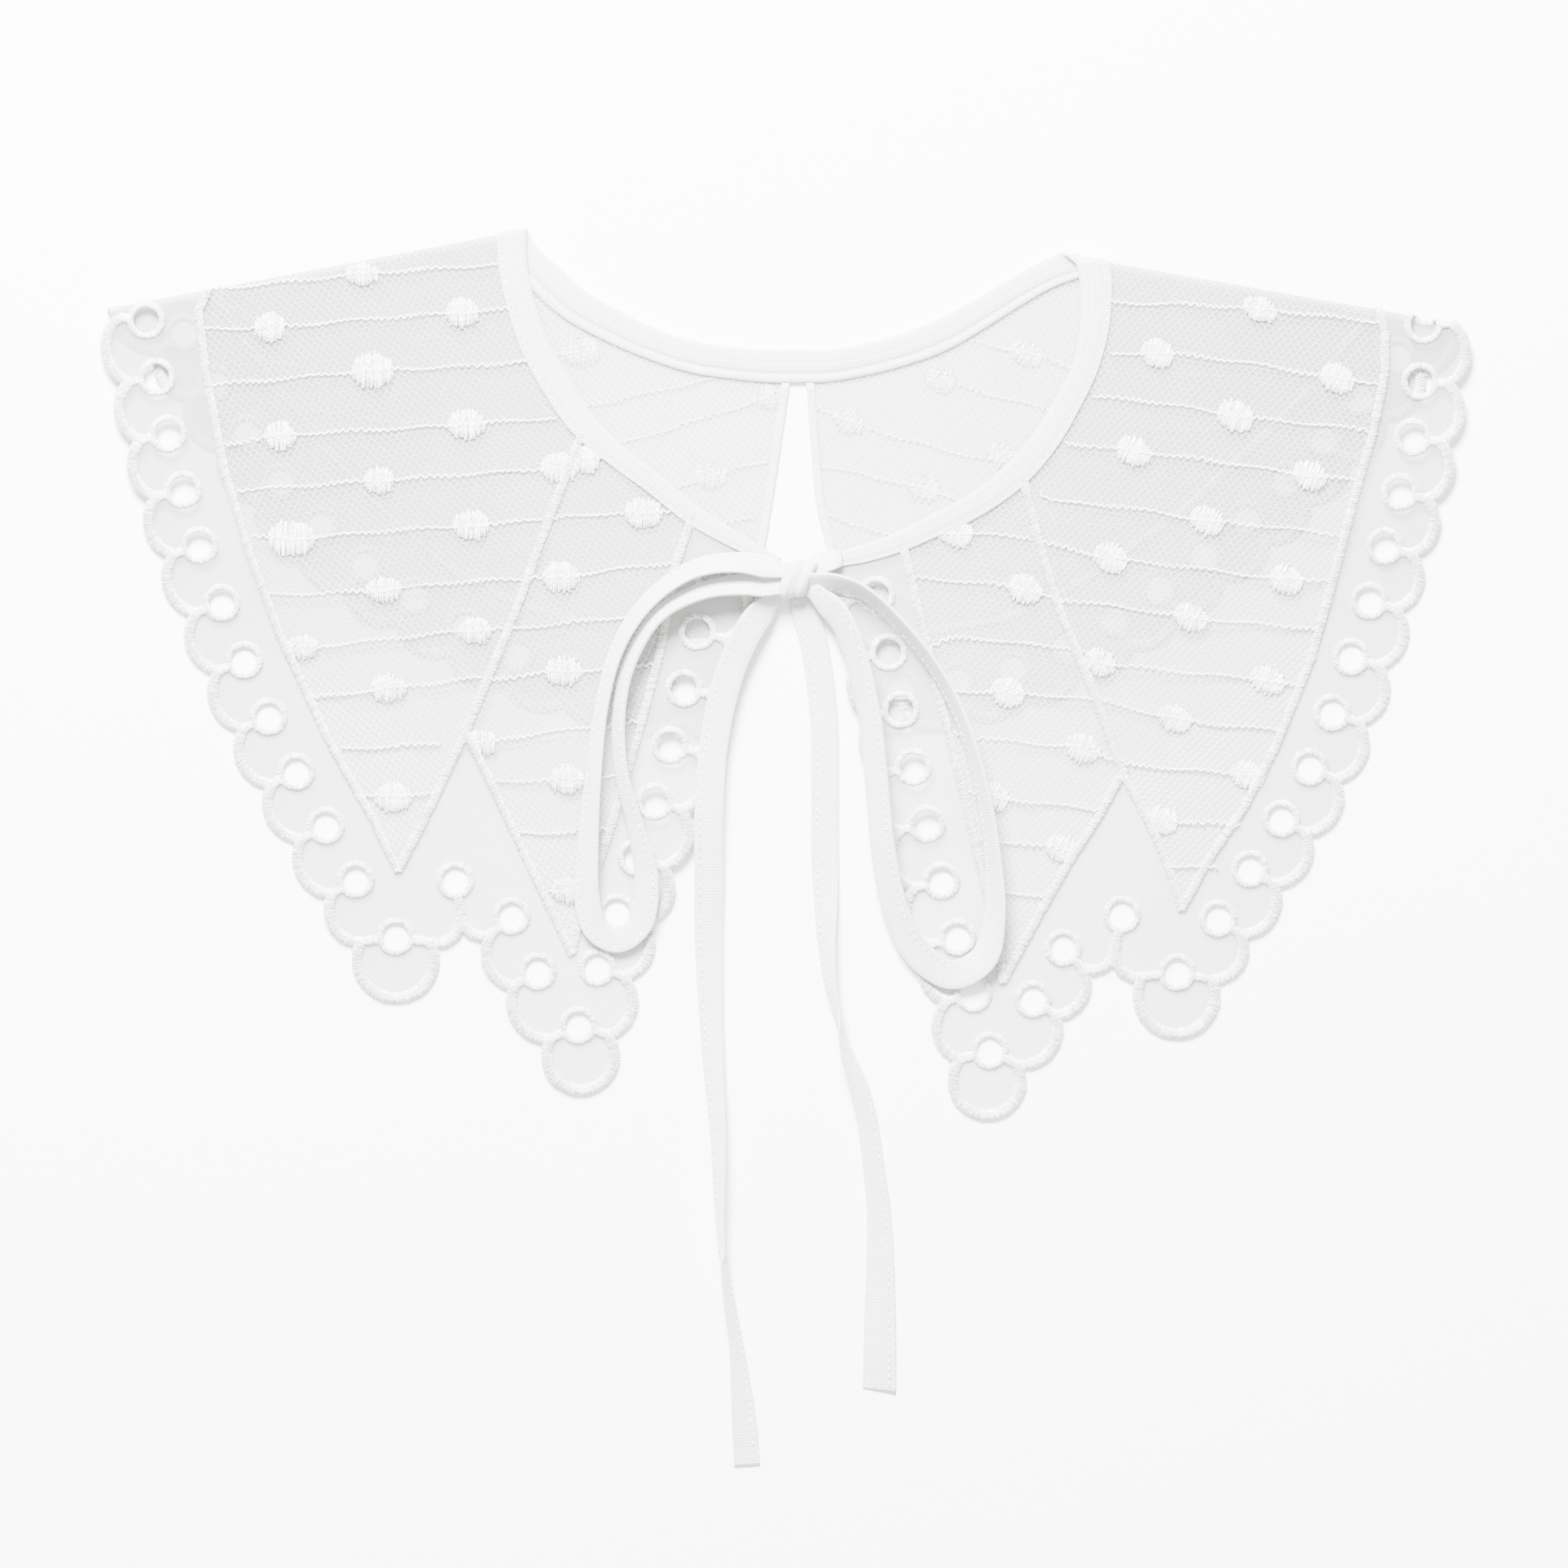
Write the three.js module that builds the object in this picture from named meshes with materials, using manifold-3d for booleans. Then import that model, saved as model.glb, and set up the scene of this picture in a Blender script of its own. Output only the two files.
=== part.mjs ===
// A peter pan collar, laid flat with its back half folded under at the shoulders.
// Millimetres, +Z up: the back lies on the floor, the front lies on the back, and
// the ties are knotted in a bow that lies on the front.
import * as THREE from 'three';
import { mergeVertices } from 'three/addons/utils/BufferGeometryUtils.js';
import Module from 'manifold-3d';

const wasm = await Module();
wasm.setup();

// Overall sizes of the folded collar
const SPAN = 470; // from the outermost scallop on the left to the one on the right
const DROP = 0.651 * SPAN; // from the shoulder corner at the neck to the lowest front tip

// Cloth and thread
const SHEET_THICK = 1.0; // tulle and organza
const SATIN_RISE = 0.5; // satin stitches above the right side of the cloth
const CLEARANCE = 0.3; // between neighbouring pieces

// Scalloped edge and eyelets
const EDGE_WIDTH = 3.5;
const EYELET_HOLE = 8.2;
const EYELET_BAND = 2.4;
const EYELET_SIDES = 7;
const JOINT_REACH = 0.02 * SPAN; // from an eyelet's centre out to the joint of two scallops
const NOTCH_REACH = 0.023 * SPAN; // the same in the notch between the two front tips
const SCALLOP_RISE = 0.28; // a scallop's rise as a share of its chord
const SCALLOP_STEPS = 3;
const LOBE_STEPS = 8;
const TIP_LOBES = [ // the width where the lobe starts, and how far out from its eyelet
  { neck: 0.051 * SPAN, base: 0.0043 * SPAN, reach: 0.0447 * SPAN }, // it starts and ends
  { neck: 0.0417 * SPAN, base: 0.0085 * SPAN, reach: 0.0472 * SPAN },
];

// Satin seam lines and the hems of the centre back slit
const SEAM_WIDTH = 2.4;
const HEM_WIDTH = 2.8;

// Neck binding
const BINDING_WIDTH = 10.0;
const BINDING_THICK = 2.0;
const BINDING_STEP = 10; // length of one step along the neck

// Ties and knot
const TIE_WIDTH = 10.0;
const TIE_THICK = 1.2;
const KNOT = { width: 11.4, length: 12.8, height: 8.0, corner: 3.6, bevel: 1.6 };

// How the layers lie
const BACK_LEVEL = BINDING_THICK / 2;
const FRONT_LEVEL = BACK_LEVEL + BINDING_THICK + CLEARANCE;
const FOLD_RADIUS = (FRONT_LEVEL - BACK_LEVEL) / 2;
const FOLD_LEVEL = (FRONT_LEVEL + BACK_LEVEL) / 2;
const FOLD_REACH = (Math.PI / 2) * FOLD_RADIUS; // half the cloth that the fold takes
const FOLD_CREASES = [-1, -1 / 3, 1 / 3, 1]; // where the fold bends, as shares of its reach
const SLOPE_LENGTH = 30; // over which the front comes down past the back's edge

// Places are read on the photograph's pixels, x to the right and y down, and
// scaled by these spans to the real sizes above.
const PHOTO = { left: 122, right: 1800, top: 277, bottom: 1371 };
const CENTRE_BACK = { x: 977, y: 447, share: 1.15, overlap: 7 };

// Each half: a fold line from the shoulder tip to the neck, the neck line with its
// width as a share of the binding's, the satin seams, the runs of eyelets along the
// scalloped edge, the slit's edge, and the line past which nothing lies under the front.
const LEFT = {
  name: 'left',
  outward: -1,
  fold: [[140, 373], [646, 277]],
  neckFront: [
    [953, 690, 0.45], [922, 673, 0.5], [888, 654, 0.62], [847, 629, 0.7], [800, 591, 0.75],
    [754, 556, 0.82], [712, 517, 0.95], [684, 475, 1.05], [656, 425, 1.0], [638, 372, 0.98],
    [628, 325, 1.0], [627, 281, 1.0],
  ],
  neckBack: [
    [640, 310, 1.1], [672, 344, 1.22], [701, 370, 1.2], [750, 398, 1.15], [801, 421, 1.08],
    [853, 437, 1.1], [905, 444, 1.12], [945, 447, 1.15],
  ],
  seams: {
    outerFront: [
      [256, 351], [243, 380], [253, 461], [275, 576], [309, 686], [343, 778], [404, 910],
      [456, 1002], [487, 1066],
    ],
    outerBack: [
      [905, 790], [848, 786], [786, 779], [728, 766], [672, 752], [607, 727], [548, 695],
      [475, 632], [414, 566], [350, 487], [290, 405],
    ],
    valley: [[487, 1066], [519, 1004], [550, 938], [570, 896]],
    middle: [[570, 896], [593, 841], [630, 752], [672, 636], [712, 530]],
    innerDown: [[568, 890], [594, 944], [650, 1063], [700, 1168]],
    innerUp: [[700, 1168], [709, 1126], [747, 1016], [781, 901], [807, 803], [827, 693], [849, 628]],
  },
  firstEyelet: [842, 845],
  runs: [
    { layer: 'back', via: [649, 807], to: [446, 690], steps: 6, at: 'joint' },
    { layer: 'back', via: [340, 585], to: [224, 405], steps: 5, at: 'joint' },
    { layer: 'front', via: null, to: [179, 391], steps: 1, at: 'joint' },
    { layer: 'front', via: [206, 532], to: [244, 667], steps: 4, at: 'joint' },
    { layer: 'front', via: [328, 877], to: [435, 1077], steps: 6, at: 'joint' },
    { layer: 'front', via: null, to: [484, 1147], steps: 1, at: 'tip' },
    { layer: 'front', via: null, to: [557, 1078], steps: 1, at: 'notch' },
    { layer: 'front', via: null, to: [626, 1122], steps: 1, at: 'joint' },
    { layer: 'front', via: null, to: [658, 1190], steps: 1, at: 'joint' },
    { layer: 'front', via: null, to: [708, 1256], steps: 1, at: 'tip' },
    { layer: 'front', via: null, to: [731, 1185], steps: 1, at: 'joint' },
    { layer: 'front', via: [803, 976], to: [854, 773], steps: 6, at: 'joint' },
    { layer: 'front', via: null, to: [874, 706], steps: 1, at: 'joint' },
  ],
  edgeEnds: { back: [884, 893], front: [936, 700] },
  slit: [[967, 468], [938, 659], [911, 800], [891, 897]],
  rim: [[55, 503], [880, 1045]],
};

const RIGHT = {
  name: 'right',
  outward: 1,
  fold: [[1304, 308], [1775, 391]],
  neckFront: [
    [997, 693, 0.5], [1030, 684, 0.52], [1055, 678, 0.62], [1099, 664, 0.7], [1150, 640, 0.8],
    [1197, 616, 0.86], [1244, 580, 0.95], [1279, 540, 0.95], [1309, 490, 0.92], [1331, 442, 0.92],
    [1342, 380, 1.05], [1336, 315, 1.15],
  ],
  neckBack: [
    [1314, 322, 1.05], [1286, 333, 1.0], [1251, 352, 1.0], [1200, 383, 1.05], [1151, 410, 1.12],
    [1099, 429, 1.1], [1050, 441, 1.1], [1009, 447, 1.12],
  ],
  seams: {
    outerFront: [
      [1686, 376], [1696, 404], [1696, 455], [1681, 530], [1657, 613], [1634, 705], [1607, 803],
      [1564, 910], [1523, 990], [1480, 1053], [1447, 1114],
    ],
    outerBack: [
      [1045, 788], [1100, 781], [1165, 768], [1228, 758], [1283, 736], [1335, 705], [1388, 668],
      [1446, 626], [1500, 576], [1560, 520], [1617, 462], [1664, 402],
    ],
    valley: [[1447, 1114], [1434, 1070], [1414, 1021], [1394, 981], [1375, 948]],
    middle: [[1375, 948], [1339, 846], [1294, 737], [1268, 647], [1252, 582]],
    innerDown: [[1377, 942], [1346, 999], [1309, 1056], [1268, 1128], [1228, 1203]],
    innerUp: [
      [1228, 1203], [1224, 1160], [1202, 1068], [1174, 947], [1146, 835], [1119, 723], [1103, 655],
    ],
  },
  firstEyelet: [1103, 841],
  runs: [
    { layer: 'back', via: [1243, 816], to: [1364, 757], steps: 4, at: 'joint' },
    { layer: 'back', via: [1537, 624], to: [1711, 434], steps: 7, at: 'joint' },
    { layer: 'front', via: null, to: [1743, 397], steps: 1, at: 'joint' },
    { layer: 'front', via: [1730, 535], to: [1677, 735], steps: 5, at: 'joint' },
    { layer: 'front', via: [1606, 935], to: [1492, 1125], steps: 6, at: 'joint' },
    { layer: 'front', via: null, to: [1442, 1191], steps: 1, at: 'tip' },
    { layer: 'front', via: null, to: [1374, 1120], steps: 1, at: 'notch' },
    { layer: 'front', via: null, to: [1302, 1161], steps: 1, at: 'joint' },
    { layer: 'front', via: null, to: [1265, 1224], steps: 1, at: 'joint' },
    { layer: 'front', via: null, to: [1212, 1287], steps: 1, at: 'tip' },
    { layer: 'front', via: null, to: [1192, 1217], steps: 1, at: 'joint' },
    { layer: 'front', via: [1133, 1003], to: [1073, 728], steps: 7, at: 'joint' },
  ],
  edgeEnds: { back: [1073, 891], front: [1022, 708] },
  slit: [[987, 468], [1000, 619], [1012, 670], [1042, 800], [1065, 897]],
  rim: [[1041, 1032], [1851, 508]],
};

// The routes of the four loose stretches of the tie: x and y on the photograph,
// z in millimetres, and how far the tape is turned on its edge in degrees.
const TIE_ROUTES = {
  left_loop: [
    [952, 697, 7.6, 30], [905, 689, 8.7, 45], [850, 697, 9.0, 50], [796, 734, 9.0, 50],
    [758, 790, 9.0, 50], [738, 860, 8.9, 48], [728, 940, 8.5, 42], [720, 1040, 6.4, 30],
    [719, 1100, 4.8, 14], [730, 1139, 3.7, 4], [757, 1153, 3.4, 0], [784, 1132, 3.9, -8],
    [792, 1080, 5.5, -20], [778, 1010, 7.6, -34], [762, 950, 8.8, -46], [758, 880, 9.2, -54],
    [770, 815, 9.3, -56], [806, 754, 9.3, -56], [860, 724, 9.0, -50], [912, 716, 8.4, -40],
    [952, 718, 7.6, -30],
  ],
  right_loop: [
    [998, 712, 8.3, 40], [1050, 722, 9.4, 62], [1106, 770, 9.6, 68], [1151, 830, 9.6, 68],
    [1182, 895, 9.6, 68], [1204, 975, 8.8, 66], [1216, 1055, 7.6, 60], [1218, 1122, 6.6, 46],
    [1204, 1174, 4.8, 20], [1166, 1194, 3.4, 0], [1128, 1172, 3.9, -10], [1099, 1122, 5.3, -26],
    [1082, 1045, 7.5, -36], [1074, 965, 8.4, -40], [1065, 880, 8.6, -42], [1048, 805, 8.6, -42],
    [1028, 757, 8.4, -38], [1003, 730, 7.2, -24],
  ],
  left_tail: [
    [944, 735, 5.4, -30], [918, 770, 6.4, -14], [893, 825, 5.9, -6], [874, 910, 5.4, 0],
    [868, 1000, 5.3, 0], [868, 1080, 2.9, 0], [868, 1150, 1.0, 0], [869, 1240, 0.9, 0],
    [872, 1330, 2.3, 18], [879, 1405, 4.0, 42], [882, 1450, 4.5, 52], [885, 1500, 3.8, 38],
    [891, 1580, 1.7, 10], [899, 1660, 0.9, 0], [907, 1735, 0.9, 0], [915, 1798, 0.9, 0],
  ],
  right_tail: [
    [979, 722, 1.7, 0], [997, 790, 1.2, 0], [1008, 870, 0.9, 0], [1010, 960, 0.9, 0],
    [1010, 1050, 0.9, 0], [1013, 1130, 1.5, 8], [1018, 1190, 3.5, 34], [1027, 1245, 4.6, 54],
    [1036, 1295, 4.3, 48], [1048, 1350, 2.5, 20], [1060, 1430, 0.9, 0], [1068, 1520, 0.9, 0],
    [1073, 1610, 0.9, 0], [1077, 1706, 0.9, 0],
  ],
};
const KNOT_PLACE = { x: 975, y: 709, bottom: 2.6 };

// Materials
const cloth = (color, roughness) =>
  new THREE.MeshStandardMaterial({ color, roughness, metalness: 0, side: THREE.DoubleSide });
const TULLE = cloth(0xf3f2ee, 0.9);
const ORGANZA = cloth(0xf0efea, 0.7);
const THREAD = cloth(0xfaf8f2, 0.5);
const TAPE = cloth(0xf1f0ea, 0.85);

// Vectors in the plane
const plus = (a, b, k = 1) => [a[0] + k * b[0], a[1] + k * b[1]];
const minus = (a, b) => [a[0] - b[0], a[1] - b[1]];
const dot = (a, b) => a[0] * b[0] + a[1] * b[1];
const length = (a) => Math.hypot(a[0], a[1]);
const unit = (a) => [a[0] / length(a), a[1] / length(a)];
const turned = (a) => [a[1], -a[0]]; // a quarter turn to the right

// A place on the photograph in millimetres, measured from the collar's middle
function spot([x, y]) {
  const across = x - (PHOTO.left + PHOTO.right) / 2;
  const up = (PHOTO.top + PHOTO.bottom) / 2 - y;
  return [across * SPAN / (PHOTO.right - PHOTO.left), up * DROP / (PHOTO.bottom - PHOTO.top)];
}

// A line through two places: its start, and the way ahead of it
function lineThrough(places) {
  const [start, end] = places.map(spot);
  return { start, ahead: turned(unit(minus(end, start))) };
}

const foldLine = (half) => lineThrough(half.fold); // the front lies ahead of it
const rimLine = (half) => lineThrough(half.rim);

// How far a place lies ahead of a line
const past = ({ start, ahead }, [x, y]) => dot(minus([x, y], start), ahead);

// A place on the back, which lies under the front, on the cloth unfolded in one plane
function unfolded(half, place) {
  const fold = foldLine(half);
  const point = spot(place);
  return plus(point, fold.ahead, -2 * past(fold, point));
}

const onCloth = (half, layer, place) => (layer === 'back' ? unfolded(half, place) : spot(place));

// Solids from three.js geometries, for joining and cutting
function solid(geometry) {
  const bare = geometry.clone();
  bare.deleteAttribute('normal');
  bare.deleteAttribute('uv');
  const merged = mergeVertices(bare, 1e-4);
  return new wasm.Manifold(new wasm.Mesh({
    numProp: 3,
    vertProperties: new Float32Array(merged.attributes.position.array),
    triVerts: new Uint32Array(merged.index.array),
  }));
}

const joined = (solids) => solids.reduce((sum, next) => sum.add(next));
const cutBy = (body, cutters) => cutters.reduce((rest, cutter) => rest.subtract(cutter), body);

// Heights over the middle of the cloth: [low, high]
const SHEET = [-SHEET_THICK / 2, SHEET_THICK / 2];
const SATIN = [-SHEET_THICK / 2, SHEET_THICK / 2 + SATIN_RISE];
const BINDING = [-BINDING_THICK / 2, BINDING_THICK / 2];
const THROUGH = [-BINDING_THICK, BINDING_THICK]; // for cutting

// A flat plate of an outline between two heights
function plate(outline, [low, high]) {
  const shape = new THREE.Shape(outline.map(([x, y]) => new THREE.Vector2(x, y)));
  const geometry = new THREE.ExtrudeGeometry(shape, { depth: high - low, bevelEnabled: false });
  geometry.translate(0, 0, low);
  return solid(geometry);
}

// The outline of a band along a route of [x, y, width], made wider and longer by grow
function bandOutline(route, grow) {
  const near = [];
  const far = [];
  route.forEach(([x, y, width], i) => {
    const before = route[Math.max(i - 1, 0)];
    const after = route[Math.min(i + 1, route.length - 1)];
    const along = unit(minus(after, before));
    const lengthen = i === 0 ? -grow : i === route.length - 1 ? grow : 0;
    const middle = plus([x, y], along, lengthen);
    near.push(plus(middle, turned(along), width / 2 + grow));
    far.push(plus(middle, turned(along), -width / 2 - grow));
  });
  return [...near, ...far.reverse()];
}

// A band between two heights, or the cut that leaves room for it
const band = (route, heights) => plate(bandOutline(route, 0), heights);
const roomFor = (route) => plate(bandOutline(route, CLEARANCE), THROUGH);

function disc([x, y], radius, heights) {
  const outline = Array.from({ length: EYELET_SIDES }, (_, i) => {
    const angle = (2 * Math.PI * (i + 0.5)) / EYELET_SIDES;
    return [x + radius * Math.cos(angle), y + radius * Math.sin(angle)];
  });
  return plate(outline, heights);
}

// The eyelets of a half, from the centre back out over the shoulder, down to both
// front tips and up to the knot, with the way out of the cloth at each
function eyeletChain(half) {
  const chain = [{ at: 'joint', point: unfolded(half, half.firstEyelet) }];
  for (const run of half.runs) {
    const stops = run.via ? [run.via, run.to] : [run.to];
    const points = [chain.at(-1).point, ...stops.map((place) => onCloth(half, run.layer, place))];
    const curve = new THREE.SplineCurve(points.map(([x, y]) => new THREE.Vector2(x, y)));
    const places = curve.getSpacedPoints(run.steps).slice(1);
    places.forEach((place, i) => {
      chain.push({ at: i === places.length - 1 ? run.at : 'joint', point: [place.x, place.y] });
    });
  }
  chain.forEach((eyelet, i) => {
    const before = chain[Math.max(i - 1, 0)].point;
    const after = chain[Math.min(i + 1, chain.length - 1)].point;
    eyelet.along = unit(minus(after, before));
    eyelet.out = turned(eyelet.along).map((value) => -half.outward * value);
  });
  return chain;
}

// A circular arc between two joints that swells outwards by a share of its chord
function arc(from, to, outward, rise, steps) {
  const chord = minus(to, from);
  const out = turned(unit(chord)).map((value) => -outward * value);
  const halfAngle = 2 * Math.atan(2 * rise);
  const radius = length(chord) / 2 / Math.sin(halfAngle);
  const centre = plus(plus(from, chord, 1 / 2), out, -radius * Math.cos(halfAngle));
  return { from, to, along: unit(chord), out, halfAngle, radius, centre, steps };
}

// The points of an arc, moved out or in by an offset; its two ends are the first and last
function arcPoints({ along, out, halfAngle, radius, centre, steps }, offset) {
  return Array.from({ length: steps + 1 }, (_, i) => {
    const angle = halfAngle * ((2 * i) / steps - 1);
    const aside = plus(centre, along, (radius + offset) * Math.sin(angle));
    return plus(aside, out, (radius + offset) * Math.cos(angle));
  });
}

// The scalloped edge as arcs that meet at joints
function edgeArcs(half, chain) {
  const scallops = [];
  const add = (from, to) => scallops.push(arc(from, to, half.outward, SCALLOP_RISE, SCALLOP_STEPS));
  let last = unfolded(half, half.edgeEnds.back);
  const lobes = [...TIP_LOBES];
  for (const { at, point, along, out } of chain) {
    if (at === 'tip') {
      const { neck, base, reach } = lobes.shift();
      const [start, end] = [-1, 1].map((side) => plus(plus(point, out, base), along, (side * neck) / 2));
      add(last, start);
      scallops.push(arc(start, end, half.outward, (reach - base) / neck, LOBE_STEPS));
      last = end;
    } else {
      const joint = plus(point, out, at === 'notch' ? NOTCH_REACH : JOINT_REACH);
      add(last, joint);
      last = joint;
    }
  }
  add(last, spot(half.edgeEnds.front));
  return scallops;
}

// Where the outsides of two neighbouring arcs cross, close to their joint
function crossing(one, other, offset) {
  const [radius, otherRadius] = [one.radius + offset, other.radius + offset];
  const apart = minus(other.centre, one.centre);
  const reach = (radius ** 2 - otherRadius ** 2 + dot(apart, apart)) / (2 * length(apart));
  const aside = Math.sqrt(Math.max(radius ** 2 - reach ** 2, 0));
  const foot = plus(one.centre, unit(apart), reach);
  const ends = [-aside, aside].map((value) => plus(foot, turned(unit(apart)), value));
  return ends[nearest(ends, one.to)];
}

// The satin cord along the edge: its outline out along the arcs and back inside them
function edgeCord(arcs) {
  const outside = arcs.flatMap((one, i) => {
    const points = arcPoints(one, EDGE_WIDTH / 2);
    const isLast = i === arcs.length - 1;
    const start = i === 0 ? [points[0]] : [];
    const end = isLast ? points.at(-1) : crossing(one, arcs[i + 1], EDGE_WIDTH / 2);
    return [...start, ...points.slice(1, -1), end];
  });
  const inside = arcs.flatMap((one, i) => {
    const points = arcPoints(one, -EDGE_WIDTH / 2);
    const next = i === arcs.length - 1 ? points.at(-1) : arcPoints(arcs[i + 1], -EDGE_WIDTH / 2)[0];
    const midway = plus(points.at(-1), minus(next, points.at(-1)), 1 / 2);
    return [...(i === 0 ? [points[0]] : []), ...points.slice(1, -1), midway];
  });
  return plate([...outside, ...inside.reverse()], SATIN);
}

// The seam lines of a half as routes on the unfolded cloth
function seamRoutes(half) {
  const { outerFront, outerBack, valley, middle, innerDown, innerUp } = half.seams;
  const back = outerBack.map((place) => unfolded(half, place));
  const routes = [
    [...back, ...outerFront.map(spot)],
    ...[valley, middle, innerDown, innerUp].map((route) => route.map(spot)),
  ];
  return routes.map((route) => route.map((point) => [...point, SEAM_WIDTH]));
}

const seams = (half) => joined(seamRoutes(half).map((route) => band(route, SATIN)));
const seamRoom = (half) => joined(seamRoutes(half).map(roomFor));

// The neck line on the unfolded cloth, from the knot over the shoulder to just past
// the centre back, as [x, y, width] at even steps
function neckRoute(half) {
  const { x: middle, y: level, share: last, overlap } = CENTRE_BACK;
  const pastCentreBack = [middle - half.outward * overlap, level, last];
  const rows = [
    ...half.neckFront.map(([x, y, share]) => [...spot([x, y]), share * BINDING_WIDTH]),
    ...[...half.neckBack, pastCentreBack].map(([x, y, share]) => (
      [...unfolded(half, [x, y]), share * BINDING_WIDTH]
    )),
  ];
  const curve = new THREE.CatmullRomCurve3(rows.map((row) => new THREE.Vector3(...row)));
  const steps = Math.round(curve.getLength() / BINDING_STEP);
  return curve.getSpacedPoints(steps).map(({ x, y, z }) => [x, y, z]);
}

// The hem of the slit on the unfolded cloth, just inside the slit's edge
function hemRoute(half) {
  const edge = half.slit.map((place) => unfolded(half, place));
  return edge.map((point, i) => {
    const before = edge[Math.max(i - 1, 0)];
    const after = edge[Math.min(i + 1, edge.length - 1)];
    const inward = turned(unit(minus(after, before))).map((value) => half.outward * value);
    return [...plus(point, inward, HEM_WIDTH / 2), HEM_WIDTH];
  });
}

const bare = (route) => route.map(([x, y]) => [x, y]);

// The outer field of tulle: the front panel between the outer seam and the middle
// seam, and the whole back panel, in one piece over the shoulder
function outerTulle(half) {
  const [outer, valley, middle] = seamRoutes(half).map(bare);
  const neck = bare(neckRoute(half));
  const meets = nearest(neck, middle.at(-1));
  const outline = [
    ...outer, ...valley.slice(1), ...middle.slice(1), ...neck.slice(meets + 1, -1),
    ...bare(hemRoute(half)).slice(0, -2),
  ];
  return cutBy(plate(outline, SHEET), [seamRoom(half), roomFor(neckRoute(half)), roomFor(hemRoute(half))]);
}

// The inner field of tulle, between the middle seam and the inner seam
function innerTulle(half) {
  const [, , middle, down, up] = seamRoutes(half).map(bare);
  const neck = bare(neckRoute(half));
  const from = nearest(neck, up.at(-1));
  const to = nearest(neck, middle.at(-1));
  const outline = [...down, ...up.slice(1), ...neck.slice(from + 1, to), ...middle.reverse().slice(0, -1)];
  return cutBy(plate(outline, SHEET), [seamRoom(half), roomFor(neckRoute(half))]);
}

// The border of organza between the seams and the scallops, front and back, with the
// satin of its edge and its eyelets raised on it
function border(half) {
  const [outer, valley, , down, up] = seamRoutes(half).map(bare);
  const chain = eyeletChain(half);
  const arcs = edgeArcs(half, chain);
  const edge = arcs.flatMap((one) => arcPoints(one, 0).slice(1));
  const outline = [
    ...bare(hemRoute(half)).slice(-1), ...edge, spot(half.neckFront[1]), ...up.slice(1).reverse(),
    ...down.reverse(), ...valley.slice(0, -1).reverse(), ...outer.slice(0, -1).reverse(),
  ];
  const rims = chain.map(({ point }) => disc(point, EYELET_HOLE / 2 + EYELET_BAND, SATIN));
  const holes = chain.map(({ point }) => disc(point, EYELET_HOLE / 2, THROUGH));
  return cutBy(joined([plate(outline, SHEET), edgeCord(arcs), ...rims]), [
    ...holes, seamRoom(half), roomFor(neckRoute(half)), roomFor(hemRoute(half)),
  ]);
}

function nearest(route, point) {
  const far = route.map((place) => length(minus(place, point)));
  return far.indexOf(Math.min(...far));
}

// A mesh as lists of points and faces, for folding
function faces(body) {
  const { vertProperties, triVerts, numProp } = body.getMesh();
  const points = [];
  for (let i = 0; i < vertProperties.length; i += numProp) {
    points.push(Array.from(vertProperties.subarray(i, i + 3)));
  }
  const triangles = [];
  for (let i = 0; i < triVerts.length; i += 3) triangles.push(Array.from(triVerts.subarray(i, i + 3)));
  return { points, triangles };
}

// The lines across which a half bends, from its back over the fold to its tips: a
// point on each and the way ahead of it
function creases(half) {
  const fold = foldLine(half);
  const rim = rimLine(half);
  const [atFold, atRim] = [FOLD_CREASES.map((share) => share * FOLD_REACH), [0, SLOPE_LENGTH]];
  return [
    ...atFold.map((ahead) => ({ start: plus(fold.start, fold.ahead, ahead), ahead: fold.ahead })),
    ...atRim.map((ahead) => ({ start: plus(rim.start, rim.ahead, ahead), ahead: rim.ahead })),
  ];
}

// All that lies ahead of a line
function farSide({ start, ahead }) {
  const ends = [-1, 1].map((side) => plus(start, turned(ahead), side * 2 * SPAN));
  return plate([...ends, ...ends.map((end) => plus(end, ahead, 2 * SPAN)).reverse()], THROUGH);
}

// Lays an unfolded piece. It is cut along its creases, so that each part has corners
// there, every part is bent, and the parts are sewn up again without the cut faces.
function laid(half, body) {
  const lines = creases(half);
  const parts = [];
  let rest = body;
  for (const line of lines) {
    parts.push(rest.subtract(farSide(line)));
    rest = rest.intersect(farSide(line));
  }
  const { points, triangles } = sewn([...parts, rest].map(faces), lines);
  return geometryOf({ points: points.map((point) => bent(point, half)), triangles });
}

const SEWING_REACH = 1e-3; // corners closer than this are one

// Joins parts that meet along lines: equal corners become one, the faces in the cuts
// go, and an edge in a cut is split at every corner that lies on it
function sewn(parts, lines) {
  const points = [];
  const triangles = [];
  for (const part of parts) {
    const corners = part.points.map((point) => {
      const same = points.findIndex((other) => isNear(point, other));
      return same >= 0 ? same : points.push(point) - 1;
    });
    triangles.push(...part.triangles.map((triangle) => triangle.map((corner) => corners[corner])));
  }
  const inCut = lines.map((line) => (
    points.flatMap((point, corner) => (Math.abs(past(line, point)) < SEWING_REACH ? [corner] : []))
  ));
  const kept = triangles.filter((triangle) => (
    new Set(triangle).size === 3
      && !inCut.some((cut) => triangle.every((corner) => cut.includes(corner)))
  ));
  return { points, triangles: kept.flatMap((triangle) => splitAtCorners(triangle, points, inCut)) };
}

const isNear = (point, other) => point.every((value, i) => Math.abs(value - other[i]) < SEWING_REACH);

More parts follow.
